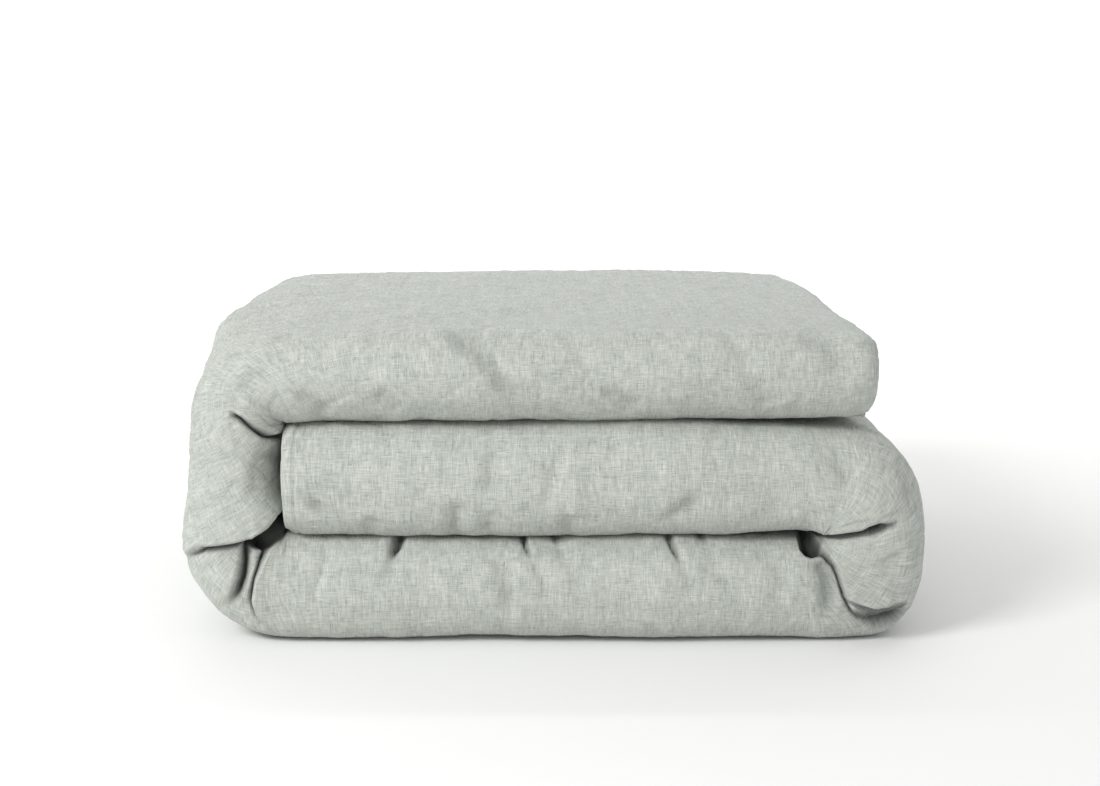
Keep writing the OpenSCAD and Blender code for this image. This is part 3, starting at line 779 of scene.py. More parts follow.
def linen_material(name, dark, light, pitch=0.00085, contrast=1.0, seed=0.0, sheen=0.12, shade=0.0):
    """Plain-weave chambray: coloured warp, pale weft, uneven slubbed yarn both ways. With shade set, a point attribute
    darkens the colour towards near black: painted shade in creases and gaps.
    """
    m, nt, bsdf = new_material(name)
    N = Nodes(nt)
    uv = N.attribute("weave")
    o = seed * 7.31
    # yarn that runs along u, uneven from thread to thread and slowly along its length
    a1 = N.noise(N.scaled(uv, (60, 900, 1), (o, 1.7, 0)), 1.0, 2.0, 0.6)
    a2 = N.noise(N.scaled(uv, (90, 1500, 1), (o, 9.2, 3)), 1.0, 1.0, 0.5)
    b1 = N.noise(N.scaled(uv, (900, 60, 1), (o + 4.1, 5.5, 6)), 1.0, 2.0, 0.6)
    b2 = N.noise(N.scaled(uv, (1500, 90, 1), (o + 2.2, 3.3, 9)), 1.0, 1.0, 0.5)
    # long faint bars from changes in the yarn
    c1 = N.noise(N.scaled(uv, (4, 260, 1), (o, 0, 12)), 1.0, 1.0, 0.5)
    c2 = N.noise(N.scaled(uv, (260, 4, 1), (o, 0, 15)), 1.0, 1.0, 0.5)
    cloud = N.noise(N.scaled(uv, (48, 48, 1), (o, 0, 18)), 1.0, 4.0, 0.62)
    # broader shading of the weft, which still shows where the cloth is seen at a low angle
    d1 = N.noise(N.scaled(uv, (300, 48, 1), (o, 0, 33)), 1.0, 2.0, 0.55)
    d2 = N.noise(N.scaled(uv, (75, 13, 1), (o, 0, 36)), 1.0, 2.0, 0.55)
    tone = N.math("ADD", N.math("MULTIPLY", N.math("SUBTRACT", a1, 0.5), 0.85 * contrast), N.math("MULTIPLY", N.math("SUBTRACT", b1, 0.5), 0.95 * contrast))
    tone = N.math("ADD", tone, N.math("MULTIPLY", N.math("SUBTRACT", a2, 0.5), 0.60 * contrast))
    tone = N.math("ADD", tone, N.math("MULTIPLY", N.math("SUBTRACT", b2, 0.5), 0.60 * contrast))
    tone = N.math("ADD", tone, N.math("MULTIPLY", N.math("SUBTRACT", c1, 0.5), 0.20 * contrast))
    tone = N.math("ADD", tone, N.math("MULTIPLY", N.math("SUBTRACT", c2, 0.5), 0.20 * contrast))
    tone = N.math("ADD", tone, N.math("MULTIPLY", N.math("SUBTRACT", cloud, 0.5), 0.42 * contrast))
    tone = N.math("ADD", tone, N.math("MULTIPLY", N.math("SUBTRACT", d1, 0.5), 0.50 * contrast))
    tone = N.math("ADD", tone, N.math("MULTIPLY", N.math("SUBTRACT", d2, 0.5), 0.30 * contrast))
    # thick slubs: short pale streaks, and a few dark ones
    sl1 = N.maprange(N.noise(N.scaled(uv, (62, 900, 1), (o, 0, 21)), 1.0, 0.0), 0.66, 0.80)
    sl2 = N.maprange(N.noise(N.scaled(uv, (900, 62, 1), (o, 0, 24)), 1.0, 0.0), 0.66, 0.80)
    dk1 = N.maprange(N.noise(N.scaled(uv, (150, 900, 1), (o, 0, 27)), 1.0, 0.0), 0.74, 0.84)
    dk2 = N.maprange(N.noise(N.scaled(uv, (900, 150, 1), (o, 0, 30)), 1.0, 0.0), 0.74, 0.84)
    slub = N.math("ADD", sl1, sl2, clamp=True)
    dots = N.math("ADD", dk1, dk2, clamp=True)
    # the weave: warp over weft in a checker of threads
    sep = nt.nodes.new("ShaderNodeSeparateXYZ")
    N.link(uv, sep.inputs[0])
    w = 2 * math.pi / (2 * pitch)
    su = N.math("SINE", N.math("MULTIPLY", sep.outputs[0], w))
    sv = N.math("SINE", N.math("MULTIPLY", sep.outputs[1], w))
    weave = N.math("MULTIPLY", su, sv)
    fac = N.math("ADD", 0.5, tone)
    fac = N.math("ADD", fac, N.math("MULTIPLY", weave, 0.07 * contrast))
    fac = N.math("ADD", fac, N.math("MULTIPLY", slub, 0.24 * contrast))
    fac = N.math("SUBTRACT", fac, N.math("MULTIPLY", dots, 0.50 * contrast), clamp=True)
    colour = N.mix(fac, (*dark, 1), (*light, 1))
    # painted shade: the colour is darkened towards a near-black green by the point attribute, scaled by shade
    if shade:        # little light reaches the cloth deep in a crease
        deep = tuple(0.07 * c for c in dark)
        colour = N.mix(N.math("MULTIPLY", N.value("painted_shade"), shade), colour, (*deep, 1))
    N.link(colour, bsdf.inputs["Base Color"])
    rough = N.maprange(fac, 0, 1, 0.92, 0.78)
    N.link(rough, bsdf.inputs["Roughness"])
    bsdf.inputs["Sheen Weight"].default_value = sheen
    bsdf.inputs["Sheen Roughness"].default_value = 0.55
    bsdf.inputs["Specular IOR Level"].default_value = 0.25
    height = N.math("ADD", N.math("MULTIPLY", tone, 0.9), N.math("MULTIPLY", weave, 0.35))
    height = N.math("ADD", height, N.math("MULTIPLY", slub, 0.8))
    N.link(N.bump(height, 0.55, 0.00035), bsdf.inputs["Normal"])
    return m


def fibre_material(name):
    """Loose crimped fibre: soft tufts and fine hairs."""
    m, nt, bsdf = new_material(name)
    N = Nodes(nt)
    uv = N.attribute("weave")
    tuft = N.noise(N.scaled(uv, (45, 45, 1)), 1.0, 5.0, 0.62, 0.6)
    hair = N.noise(N.scaled(uv, (900, 210, 1)), 1.0, 3.0, 0.6, 2.2)
    fac = N.math("ADD", N.math("MULTIPLY", tuft, 0.6), N.math("MULTIPLY", hair, 0.4))
    N.link(N.mix(N.maprange(fac, 0.3, 0.7), (0.70, 0.695, 0.68, 1), (0.90, 0.895, 0.885, 1)), bsdf.inputs["Base Color"])
    N.link(N.maprange(fac, 0.3, 0.7, 0.98, 0.86), bsdf.inputs["Roughness"])
    N.link(N.bump(fac, 0.8, 0.002), bsdf.inputs["Normal"])
    bsdf.inputs["Sheen Weight"].default_value = 0.25
    bsdf.inputs["Specular IOR Level"].default_value = 0.15
    return m


def thread_material(name, dark, light, coords="weave", twist=0.0009):
    """Twisted sewing thread with a little lint."""
    m, nt, bsdf = new_material(name)
    N = Nodes(nt)
    v = N.attribute("weave") if coords == "weave" else N.object_coords()
    sep = nt.nodes.new("ShaderNodeSeparateXYZ")
    N.link(v, sep.inputs[0])
    across = N.math("ADD", sep.outputs[1], sep.outputs[2])
    turn = N.math("MULTIPLY", N.math("ADD", sep.outputs[0], across), 2 * math.pi / twist)
    ply = N.math("ADD", N.math("MULTIPLY", N.math("SINE", turn), 0.5), 0.5)
    lint = N.noise(N.scaled(v, (900, 900, 900)), 1.0, 3.0, 0.6)
    fac = N.math("ADD", N.math("MULTIPLY", ply, 0.6), N.math("MULTIPLY", lint, 0.4))
    N.link(N.mix(fac, (*dark, 1), (*light, 1)), bsdf.inputs["Base Color"])
    N.link(N.maprange(lint, 0.3, 0.7, 0.62, 0.82), bsdf.inputs["Roughness"])
    N.link(N.bump(fac, 0.7, 0.0002), bsdf.inputs["Normal"])
    bsdf.inputs["Sheen Weight"].default_value = 0.1
    return m


def shell_material(name):
    """Polished shell: cloudy growth bands with a faint green and rose cast, and fine turning marks."""
    m, nt, bsdf = new_material(name)
    N = Nodes(nt)
    v = N.object_coords()
    cloud = N.noise(N.scaled(v, (60, 60, 60)), 1.0, 4.0, 0.55, 1.4)
    band = N.noise(N.scaled(v, (90, 340, 120)), 1.0, 2.0, 0.5, 2.6)
    tint = N.noise(N.scaled(v, (130, 110, 130), (3, 1, 2)), 1.0, 2.0, 0.5, 1.0)
    base = N.mix(N.maprange(cloud, 0.32, 0.68), (0.62, 0.60, 0.53, 1), (0.84, 0.83, 0.78, 1))
    base = N.mix(N.math("MULTIPLY", N.maprange(band, 0.42, 0.66), 0.5), base, (0.73, 0.79, 0.74, 1))
    base = N.mix(N.math("MULTIPLY", N.maprange(tint, 0.50, 0.72), 0.4), base, (0.85, 0.74, 0.71, 1))
    N.link(base, bsdf.inputs["Base Color"])
    wear = N.noise(N.scaled(v, (700, 700, 700)), 1.0, 3.0, 0.6)
    N.link(N.maprange(wear, 0.3, 0.7, 0.20, 0.38), bsdf.inputs["Roughness"])
    N.link(N.bump(N.math("ADD", N.math("MULTIPLY", band, 0.7), N.math("MULTIPLY", wear, 0.3)), 0.25, 0.0002), bsdf.inputs["Normal"])
    bsdf.inputs["Coat Weight"].default_value = 0.35
    bsdf.inputs["Coat Roughness"].default_value = 0.12
    return m


def label_material(name):
    """Blank woven label: close satin ribs with a soft crease."""
    m, nt, bsdf = new_material(name)
    N = Nodes(nt)
    v = N.object_coords()
    sep = nt.nodes.new("ShaderNodeSeparateXYZ")
    N.link(v, sep.inputs[0])
    rib = N.math("SINE", N.math("MULTIPLY", sep.outputs[2], 2 * math.pi / 0.0006))
    run = N.noise(N.scaled(v, (200, 120, 1800)), 1.0, 2.0, 0.5)
    fac = N.math("ADD", N.math("MULTIPLY", rib, 0.25), run, clamp=True)
    N.link(N.mix(fac, (0.72, 0.715, 0.70, 1), (0.88, 0.875, 0.86, 1)), bsdf.inputs["Base Color"])
    N.link(N.maprange(run, 0.3, 0.7, 0.42, 0.6), bsdf.inputs["Roughness"])
    N.link(N.bump(fac, 0.4, 0.0002), bsdf.inputs["Normal"])
    bsdf.inputs["Sheen Weight"].default_value = 0.2
    return m


# the face's linen takes the painted shade of creases, pits and gaps
LINEN = linen_material("linen_chambray", (0.270, 0.298, 0.262), (0.640, 0.662, 0.622), shade=0.96)
TICKING = linen_material("ticking_cotton", (0.70, 0.695, 0.68), (0.86, 0.855, 0.84), pitch=0.0005, contrast=0.6, seed=5.0)
BAFFLE = linen_material("baffle_cotton", (0.72, 0.715, 0.70), (0.87, 0.865, 0.85), pitch=0.0005, contrast=0.6, seed=6.0)
PIPING = thread_material("piping_cotton", (0.68, 0.675, 0.66), (0.88, 0.875, 0.86), twist=0.0040)
TAPE = linen_material("cotton_tape", (0.66, 0.68, 0.64), (0.82, 0.835, 0.80), pitch=0.0006, contrast=0.7, seed=8.0)
THREAD = thread_material("sewing_thread", (0.44, 0.475, 0.43), (0.72, 0.745, 0.70))
THREAD_BUTTON = thread_material("button_thread", (0.52, 0.55, 0.50), (0.78, 0.80, 0.75), coords="object", twist=0.0011)
SHELL = shell_material("button_shell")
LABEL = label_material("label_satin")
FIBRE = fibre_material("loose_fibre")
LINEN_BACK = linen_material("linen_chambray_reverse", (0.270, 0.298, 0.262), (0.640, 0.662, 0.622), seed=3.0)


# ---------------------------------------------------------------- the skins: points of the cover's face panel and reverse panel

s_cols, P_base, K_face = build_skin(1)
# the last value is the painted shade of creases, pits and gaps
P_face, N_face, D_face, PAINTED_SHADE = sculpt(P_base, s_cols, K_face)
P_face[..., 2] = np.maximum(P_face[..., 2], 0.0004)
rows, cols = P_face.shape[:2]
_, P_rev, K_rev = build_skin(-1, s=s_cols)
P_rev = P_rev + (P_face - P_base) * ((1 - K_face) ** 2)[..., None]
edge = (K_face < 1e-6)
P_rev[edge] = P_face[edge]
W_COLS = fold_weight(s_cols)
BACK_ROWS = len(section_rows()[0])                    # rows of one ply's flat part
BACK_D = section_rows()[0]                            # how far each lies from the back seam


def blended(ob):
    """Bakes the piece's transform into its points."""
    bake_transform(ob)
    return ob


U, V = weave_coords(P_face, s_cols)
uvw = np.stack([U, V, np.zeros_like(U)], -1).reshape(-1, 3)
# the face carries its painted shade to the linen as a point attribute
cover_face = mesh_object("cover_face", P_face.reshape(-1, 3), grid_faces(rows, cols, flip=True), LINEN,
                         attrs={"weave": ("FLOAT_VECTOR", uvw), "painted_shade": ("FLOAT", PAINTED_SHADE)})
blended(cover_face)
PARTS = ["lower_third", "right_fold", "tucked_third", "left_fold", "upper_third"]
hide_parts(*["cover_face_" + p for p in PARTS])


def every(n, step, first=0, last=None):
    """Indices from first to last, both kept, about step apart."""
    last = n - 1 if last is None else last
    return np.unique(np.round(np.linspace(first, last, max(2, int(round((last - first) / step)) + 1))).astype(int))


ri, ci = every(rows, 2.0), every(cols, 2.0)
rev = P_rev[np.ix_(ri, ci)]
uv_rev = np.stack([U[np.ix_(ri, ci)], V[np.ix_(ri, ci)] + 0.7, np.zeros((len(ri), len(ci)))], -1).reshape(-1, 3)
cover_reverse = mesh_object("cover_reverse", rev.reshape(-1, 3), grid_faces(len(ri), len(ci)), LINEN_BACK, attrs={"weave": ("FLOAT_VECTOR", uv_rev)})
blended(cover_reverse)
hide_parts(*["cover_reverse_" + p for p in PARTS])

# ---------------------------------------------------------------- the insert: a quilt of its own inside the cover

def low(a, rj, ck):
    """The lowest value nearby, rj rows and ck columns each way."""
    out = a.copy()
    for k in range(1, rj + 1):
        out[k:] = np.minimum(out[k:], a[:-k])
        out[:-k] = np.minimum(out[:-k], a[k:])
    b = out.copy()
    for k in range(1, ck + 1):
        out[:, k:] = np.minimum(out[:, k:], b[:, :-k])
        out[:, :-k] = np.minimum(out[:, :-k], b[:, k:])
    return out


P_in = P_base + N_face * low(D_face, 6, 6)[..., None]
P_in[..., 2] = np.maximum(P_in[..., 2], 0.0006)
MID = 0.5 * (P_in + P_rev)
IN_D = 0.034                                          # the insert's side seam, from the cover's own
r0 = int(np.argmin(np.abs(BACK_D - IN_D)))
c0 = int(np.argmin(np.abs(s_cols - 0.007)))
c1 = int(np.argmin(np.abs(s_cols - (S_TOTAL - 0.014))))
rj, cj = every(rows, 2.6, r0, rows - 1 - r0), every(cols, 4.0, c0, c1)


def puff(t, r):
    t = np.clip(t / r, 0, 1)
    return (1 - (1 - t) ** 2.4) ** (1 / 2.4)


# distance from the insert's own edges, along the rows and along the columns
d_rows = np.concatenate([BACK_D, np.full(rows - 2 * BACK_ROWS, 1.0), BACK_D[::-1]])[rj] - BACK_D[r0]
THICK = puff(d_rows, 0.03)[:, None] * puff(s_cols[cj] - s_cols[c0], 0.022)[None, :] * puff(s_cols[c1] - s_cols[cj], 0.03)[None, :]

# the quilt stays back from the creased front of the left fold, where the cover gathers as the upper third is turned
y_in = P_base[np.ix_(rj, cj)][..., 1]
THICK = THICK * (1 - 0.5 * sstep(Y_F + 0.10, Y_F + 0.04, y_in) * (sstep(A3 - 0.10, A3 - 0.02, s_cols[cj]) * sstep(A6 + 0.10, A6 + 0.02, s_cols[cj]))[None, :])


def insert_shell(share):
    """The closed quilt, as rows of its outer side and of its inner side."""
    m = MID[np.ix_(rj, cj)]
    outer = m + (P_in[np.ix_(rj, cj)] - m) * (THICK * share)[..., None]
    inner = m + (P_rev[np.ix_(rj, cj)] - m) * (THICK * share)[..., None]
    return outer, inner


def closed_quilt(name, share, material):
    outer, inner = insert_shell(share)
    r, c = outer.shape[:2]
    verts = np.concatenate([outer.reshape(-1, 3), inner.reshape(-1, 3)])
    faces = np.concatenate([grid_faces(r, c, flip=True), grid_faces(r, c, offset=r * c)])
    uv = np.stack([np.broadcast_to(s_cols[cj][None, :], (r, c)), V[np.ix_(rj, cj)], np.zeros((r, c))], -1).reshape(-1, 3)
    ob = mesh_object(name, verts, faces, material, attrs={"weave": ("FLOAT_VECTOR", np.concatenate([uv, uv + [0.0, 0.9, 0.0]]))})
    bm = bmesh.new()
    bm.from_mesh(ob.data)
    bmesh.ops.remove_doubles(bm, verts=bm.verts, dist=1e-6)
    bm.to_mesh(ob.data)
    bm.free()
    co = np.empty(len(ob.data.vertices) * 3, np.float32)
    ob.data.vertices.foreach_get("co", co)
    # the weights again, from the nearest column
    w = np.broadcast_to(W_COLS[cj][None, :], (r, c))
    if len(ob.data.vertices) != len(verts):
        from mathutils import kdtree
        tree = kdtree.KDTree(len(verts))
        for k, v in enumerate(verts):
            tree.insert(v, k)
        tree.balance()
        both = np.concatenate([w.ravel(), w.ravel()])
        weights = [both[tree.find(v)[1]] for v in co.reshape(-1, 3)]
    else:
        weights = np.concatenate([w.ravel(), w.ravel()])
    return blended(ob)


insert_ticking = closed_quilt("insert_ticking", 0.90, TICKING)
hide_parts(*["insert_ticking_" + p for p in PARTS])
insert_fill = closed_quilt("insert_fill", 0.84, FIBRE)
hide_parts(*["insert_fill_" + p for p in PARTS])


def solid_strip(name, A, B, material, thick, weights, uv_shift=0.0, across=6, shape=None):
    """A strip of cloth between two lines of points, with its own thickness along the grid's normal."""
    t = np.linspace(0, 1, across)[:, None, None]
    G = A[None] * (1 - t) + B[None] * t
    if shape is not None:
        G = G + shape(t)
    n = grid_normals(G)
    verts = np.concatenate([(G + n * thick / 2).reshape(-1, 3), (G - n * thick / 2).reshape(-1, 3)])
    r, c = G.shape[:2]
    faces = [grid_faces(r, c), grid_faces(r, c, offset=r * c, flip=True)]
    ring = [j * c for j in range(r)] + [(r - 1) * c + i for i in range(1, c)] + [j * c + c - 1 for j in range(r - 2, -1, -1)] + [i for i in range(c - 2, 0, -1)]
    ring = np.array(ring)
    nxt = np.roll(ring, -1)
    faces.append(np.stack([ring, nxt, nxt + r * c, ring + r * c], -1))
    along = np.concatenate([[0], np.cumsum(np.linalg.norm(np.diff(A, axis=0), axis=1))])
    width = np.linalg.norm(B - A, axis=1).mean()
    uv = np.stack([np.broadcast_to(along[None, :], (r, c)), np.broadcast_to(np.linspace(0, width, r)[:, None], (r, c)) + uv_shift, np.zeros((r, c))], -1).reshape(-1, 3)
    ob = mesh_object(name, verts, np.concatenate(faces), material, attrs={"weave": ("FLOAT_VECTOR", np.concatenate([uv, uv]))})
    w = np.broadcast_to(np.asarray(weights)[None, :], (r, c)).ravel()
    return ob, np.concatenate([w, w])


def joined(name, parts, weights):
    """Several meshes of one material made into one piece."""
    verts, faces, uv, w, k = [], [], [], [], 0
    for ob, ww in zip(parts, weights):
        me = ob.data
        co = np.empty(len(me.vertices) * 3, np.float32)
        me.vertices.foreach_get("co", co)
        a = np.empty(len(me.vertices) * 3, np.float32)
        me.attributes["weave"].data.foreach_get("vector", a)
        verts.append(co.reshape(-1, 3))
        uv.append(a.reshape(-1, 3))
        faces += [[i + k for i in f.vertices] for f in me.polygons]
        k += len(me.vertices)
        w.append(np.asarray(ww))
        mat = me.materials[0]
    for ob in parts:
        bpy.data.objects.remove(ob)
    out = mesh_object(name, np.concatenate(verts), faces, mat, attrs={"weave": ("FLOAT_VECTOR", np.concatenate(uv))})
    return out, np.concatenate(w)


# baffles: low walls of cloth from the insert's outer side to its inner side, every few hand widths both ways
outer_b, inner_b = insert_shell(0.87)
walls, wall_w = [], []
rr, cc = outer_b.shape[:2]
for i in range(1, 14):
    k = int(cc * i / 14)
    ob, w = solid_strip("b", outer_b[2:-2, k], inner_b[2:-2, k], BAFFLE, 0.0006, np.full(rr - 4, W_COLS[cj][k]), across=4)
    walls.append(ob)
    wall_w.append(w)
for i in range(1, 8):
    k = int(rr * i / 8)
    ob, w = solid_strip("b", outer_b[k, 2:-2], inner_b[k, 2:-2], BAFFLE, 0.0006, W_COLS[cj][2:-2], across=4)
    walls.append(ob)
    wall_w.append(w)
insert_baffles, w = joined("insert_baffles", walls, wall_w)
blended(insert_baffles)
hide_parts(*["insert_baffles_" + p for p in PARTS])


def tube(points, radius, weights, sides=8, closed=False):
    """Points, faces, lengths and weights of a round cord along a line."""
    P = np.asarray(points, float)
    T = np.gradient(P, axis=0)
    if closed:
        T = (np.roll(P, -1, axis=0) - np.roll(P, 1, axis=0)) / 2
    T /= np.maximum(np.linalg.norm(T, axis=1), 1e-9)[:, None]
    ref = np.array([0.0, 0.3, 1.0])
    A = np.cross(T, ref)
    bad = np.linalg.norm(A, axis=1) < 0.2
    A[bad] = np.cross(T[bad], [0, 1.0, 0])
    for k in range(1, len(A)):                       # keep the sides in line from ring to ring
        a = A[k - 1] - T[k] * np.dot(A[k - 1], T[k])
        A[k] = a if np.linalg.norm(a) > 1e-6 else A[k]
        A[k] /= np.linalg.norm(A[k])
    A[0] /= np.linalg.norm(A[0])
    B = np.cross(T, A)
    a = np.arange(sides) * 2 * math.pi / sides
    V_ = P[:, None] + radius * (np.cos(a)[None, :, None] * A[:, None] + np.sin(a)[None, :, None] * B[:, None])
    n = len(P)
    i, k = np.meshgrid(np.arange(n if closed else n - 1), np.arange(sides), indexing="ij")
    F = np.stack([i * sides + k, ((i + 1) % n) * sides + k, ((i + 1) % n) * sides + (k + 1) % sides, i * sides + (k + 1) % sides], -1).reshape(-1, 4)
    L = np.concatenate([[0], np.cumsum(np.linalg.norm(np.diff(P, axis=0), axis=1))])
    uv = np.stack([np.broadcast_to(L[:, None], (n, sides)), np.broadcast_to(a[None, :] * radius, (n, sides)), np.zeros((n, sides))], -1)
    faces = [list(f) for f in F]
    if not closed:
        faces += [list(range(sides))[::-1], [(n - 1) * sides + j for j in range(sides)]]
    return V_.reshape(-1, 3), faces, uv.reshape(-1, 3), np.repeat(np.asarray(weights, float), sides)


def piece_of(name, chunks, material):
    """One piece out of (points, faces, lengths, weights) chunks."""
    verts, faces, uv, w, k = [], [], [], [], 0
    for v, f, u, ww in chunks:
        verts.append(v)
        faces += [[i + k for i in q] for q in f]
        uv.append(u)
        w.append(ww)
        k += len(v)
    ob = mesh_object(name, np.concatenate(verts), faces, material, attrs={"weave": ("FLOAT_VECTOR", np.concatenate(uv))})
    return ob, np.concatenate(w)


# piping: a cord all round the insert's own seam
m = MID[np.ix_(rj, cj)]
loop_pts = np.concatenate([m[:, 0], m[-1, 1:], m[-2::-1, -1], m[0, -2:0:-1]])
loop_w = np.concatenate([np.full(len(rj), W_COLS[cj][0]), W_COLS[cj][1:], np.full(len(rj) - 1, W_COLS[cj][-1]), W_COLS[cj][-2:0:-1]])
insert_piping, w = piece_of("insert_piping", [tube(loop_pts, 0.0016, loop_w, closed=True)], PIPING)
blended(insert_piping)
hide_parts(*["insert_piping_" + p for p in PARTS])

# ---------------------------------------------------------------- the buttoned opening at the tucked end

F0, R0 = P_face[:, 0].copy(), P_rev[:, 0].copy()
but = [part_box("buttons")[0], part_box("buttons")[1]]
BUTTON_X = but[1].x
BUTTONS = [(-0.253 + 0.17 * i, z) for i in range(4) for z in (0.1566 - 0.02615, 0.1566 + 0.02615)]


def band_grid(t0, t1, setback, n=12):
    """Points across the opening from share t0 to t1 of the way from the face's hem to the reverse's, as a shallow swell."""
    t = np.linspace(t0, t1, n)[:, None, None]
    G = F0[None] * (1 - t) + R0[None] * t
    G[..., 0] -= 0.0022 * np.sin(math.pi * t[..., 0]) - setback
    near = np.zeros(G.shape[:2])
    for y, z in BUTTONS:
        near = np.maximum(near, sstep(0.030, 0.012, np.hypot(G[..., 1] - y, G[..., 2] - z)))
    G[..., 0] = G[..., 0] * (1 - near) + (BUTTON_X + 0.0007 + setback) * near
    return G


def band_piece(name, t0, t1, setback, material, shift):
    G = band_grid(t0, t1, setback)
    keep = every(rows, 1.5)
    G = G[:, keep]
    r, c = G.shape[:2]
    n = grid_normals(G)
    n[np.linalg.norm(n, axis=2) < 0.5] = [1.0, 0, 0]
    thick = 0.0009
    verts = np.concatenate([(G - [thick / 2, 0, 0]).reshape(-1, 3), (G + [thick / 2, 0, 0]).reshape(-1, 3)])
    faces = [grid_faces(r, c), grid_faces(r, c, offset=r * c, flip=True)]
    ring = np.array([j * c for j in range(r)] + [(r - 1) * c + i for i in range(1, c)] + [j * c + c - 1 for j in range(r - 2, -1, -1)] + [i for i in range(c - 2, 0, -1)])
    nxt = np.roll(ring, -1)
    faces.append(np.stack([ring, nxt, nxt + r * c, ring + r * c], -1))
    along = np.concatenate([[0], np.cumsum(np.linalg.norm(np.diff(F0[keep], axis=0), axis=1))])
    uv = np.stack([np.broadcast_to(along[None, :], (r, c)), np.broadcast_to(np.linspace(t0, t1, r)[:, None] * 0.052 + shift, (r, c)), np.zeros((r, c))], -1).reshape(-1, 3)
    ob = mesh_object(name, verts, np.concatenate(faces), material, attrs={"weave": ("FLOAT_VECTOR", np.concatenate([uv, uv]))})
    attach(ob, "base")
    return ob


buttonhole_band = band_piece("buttonhole_band_cloth", 0.0, 0.66, 0.0, LINEN, 1.3)
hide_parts("buttonhole_band")
button_band = band_piece("button_band_cloth", 0.44, 1.0, 0.0014, LINEN_BACK, 2.1)
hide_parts("button_band")

# ---------------------------------------------------------------- stitching

def stitches(line, normals, weights, pitch, length, thick, jitter, seed):
    """Short raised threads along a line of points, a little uneven."""
    rng = np.random.default_rng(seed)
    L = np.concatenate([[0], np.cumsum(np.linalg.norm(np.diff(line, axis=0), axis=1))])
    at = np.arange(pitch / 2, L[-1] - pitch / 2, pitch)
    at = at + rng.uniform(-1, 1, len(at)) * jitter
    out = []

    def pick(a, q):
        return np.stack([np.interp(q, L, a[:, k]) for k in range(3)], -1)

    for q in at:
        t = np.array([-0.5, -0.38, 0.0, 0.38, 0.5]) * length + q
        P = pick(line, t)
        n = pick(normals, t)
        n /= np.maximum(np.linalg.norm(n, axis=1), 1e-9)[:, None]
        P = P + n * (np.array([-0.35, 0.25, 0.6, 0.25, -0.35]) * thick)[:, None]
        w = np.interp(t, L, weights)
        out.append(tube(P, thick / 2, w, sides=5))
    return out


def face_line(r=None, c=None, sides=None):
    """A line on the face panel: one row, or one column."""
    if r is not None:
        return P_face[r], N_face[r], W_COLS
    return P_face[:, c], N_face[:, c], np.full(rows, W_COLS[c])


r_s = int(np.argmin(np.abs(BACK_D - 0.0070)))
c_e = int(np.argmin(np.abs(s_cols - (S_TOTAL - 0.0065))))
c_h = int(np.argmin(np.abs(s_cols - (HEM - 0.0020))))
chunks = []
for k, r in enumerate((r_s, rows - 1 - r_s)):
    a, b, c = face_line(r=r)
    chunks += stitches(a[2:-6], b[2:-6], c[2:-6], 0.0038, 0.0029, 0.00055, 0.0002, 100 + k)
a, b, c = face_line(c=c_e)
chunks += stitches(a[6:-6], b[6:-6], c[6:-6], 0.0038, 0.0029, 0.00055, 0.0002, 103)
side_stitching, w = piece_of("seam_stitching", chunks, THREAD)
blended(side_stitching)
a, b, c = face_line(c=c_h)
chunks = stitches(a[4:-4], b[4:-4], c[4:-4], 0.0034, 0.0026, 0.00055, 0.0002, 104)
# the buttonholes: two rows of close stitches and a bar at each end, under each button
for y, z in BUTTONS:
    x = BUTTON_X + 0.0002
    for dz in (-0.0012, 0.0012):
        ys = np.linspace(y - 0.0135, y + 0.0135, 12)
        line = np.stack([np.full(12, x), ys, np.full(12, z + dz)], -1)
        for yy in np.arange(y - 0.0130, y + 0.0131, 0.0009):
            seg = np.array([[x + 0.0002, yy, z + dz * 0.3], [x - 0.0004, yy, z + dz * 1.0], [x + 0.0002, yy, z + dz * 1.9]])
            chunks.append(tube(seg, 0.00028, np.zeros(3), sides=4))
    for yy in (y - 0.0140, y + 0.0140):
        seg = np.array([[x + 0.0002, yy, z - 0.0026], [x - 0.0005, yy, z], [x + 0.0002, yy, z + 0.0026]])
        chunks.append(tube(seg, 0.0005, np.zeros(3), sides=5))
hem_stitching, w = piece_of("hem_stitching", chunks, THREAD)
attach(hem_stitching, "base")

# ---------------------------------------------------------------- corner ties and loops inside the cover

def tape(points, width_dir, width, thick, weights):
    """A flat woven tape along a line of points."""
    P = np.asarray(points, float)
    for _ in range(3):                                # round the corners off
        q = P.copy()
        q[1:-1] = 0.25 * P[:-2] + 0.5 * P[1:-1] + 0.25 * P[2:]
        P = np.concatenate([np.stack([q[:-1], 0.5 * (q[:-1] + q[1:])], 1).reshape(-1, 3), q[-1:]])
    T = np.gradient(P, axis=0)
    T /= np.linalg.norm(T, axis=1)[:, None]
    Wd = np.asarray(width_dir, float)[None] - T * (T @ np.asarray(width_dir, float))[:, None]
    Wd /= np.linalg.norm(Wd, axis=1)[:, None]
    Nn = np.cross(T, Wd)
    ring = [(-1, -1), (0, -1.15), (1, -1), (1, 1), (0, 1.15), (-1, 1)]
    V_ = np.stack([P + Wd * a * width / 2 + Nn * b * thick / 2 for a, b in ring], 1)
    n, k = V_.shape[:2]
    i, j = np.meshgrid(np.arange(n - 1), np.arange(k), indexing="ij")
    F = [list(f) for f in np.stack([i * k + j, (i + 1) * k + j, (i + 1) * k + (j + 1) % k, i * k + (j + 1) % k], -1).reshape(-1, 4)]
    F += [list(range(k))[::-1], [(n - 1) * k + q for q in range(k)]]
    L = np.concatenate([[0], np.cumsum(np.linalg.norm(np.diff(P, axis=0), axis=1))])
    uv = np.stack([np.broadcast_to(L[:, None], (n, k)), np.broadcast_to(np.array([r[0] for r in ring])[None, :] * width / 2, (n, k)), np.zeros((n, k))], -1)
    return V_.reshape(-1, 3), F, uv.reshape(-1, 3), np.full(n * k, float(weights))


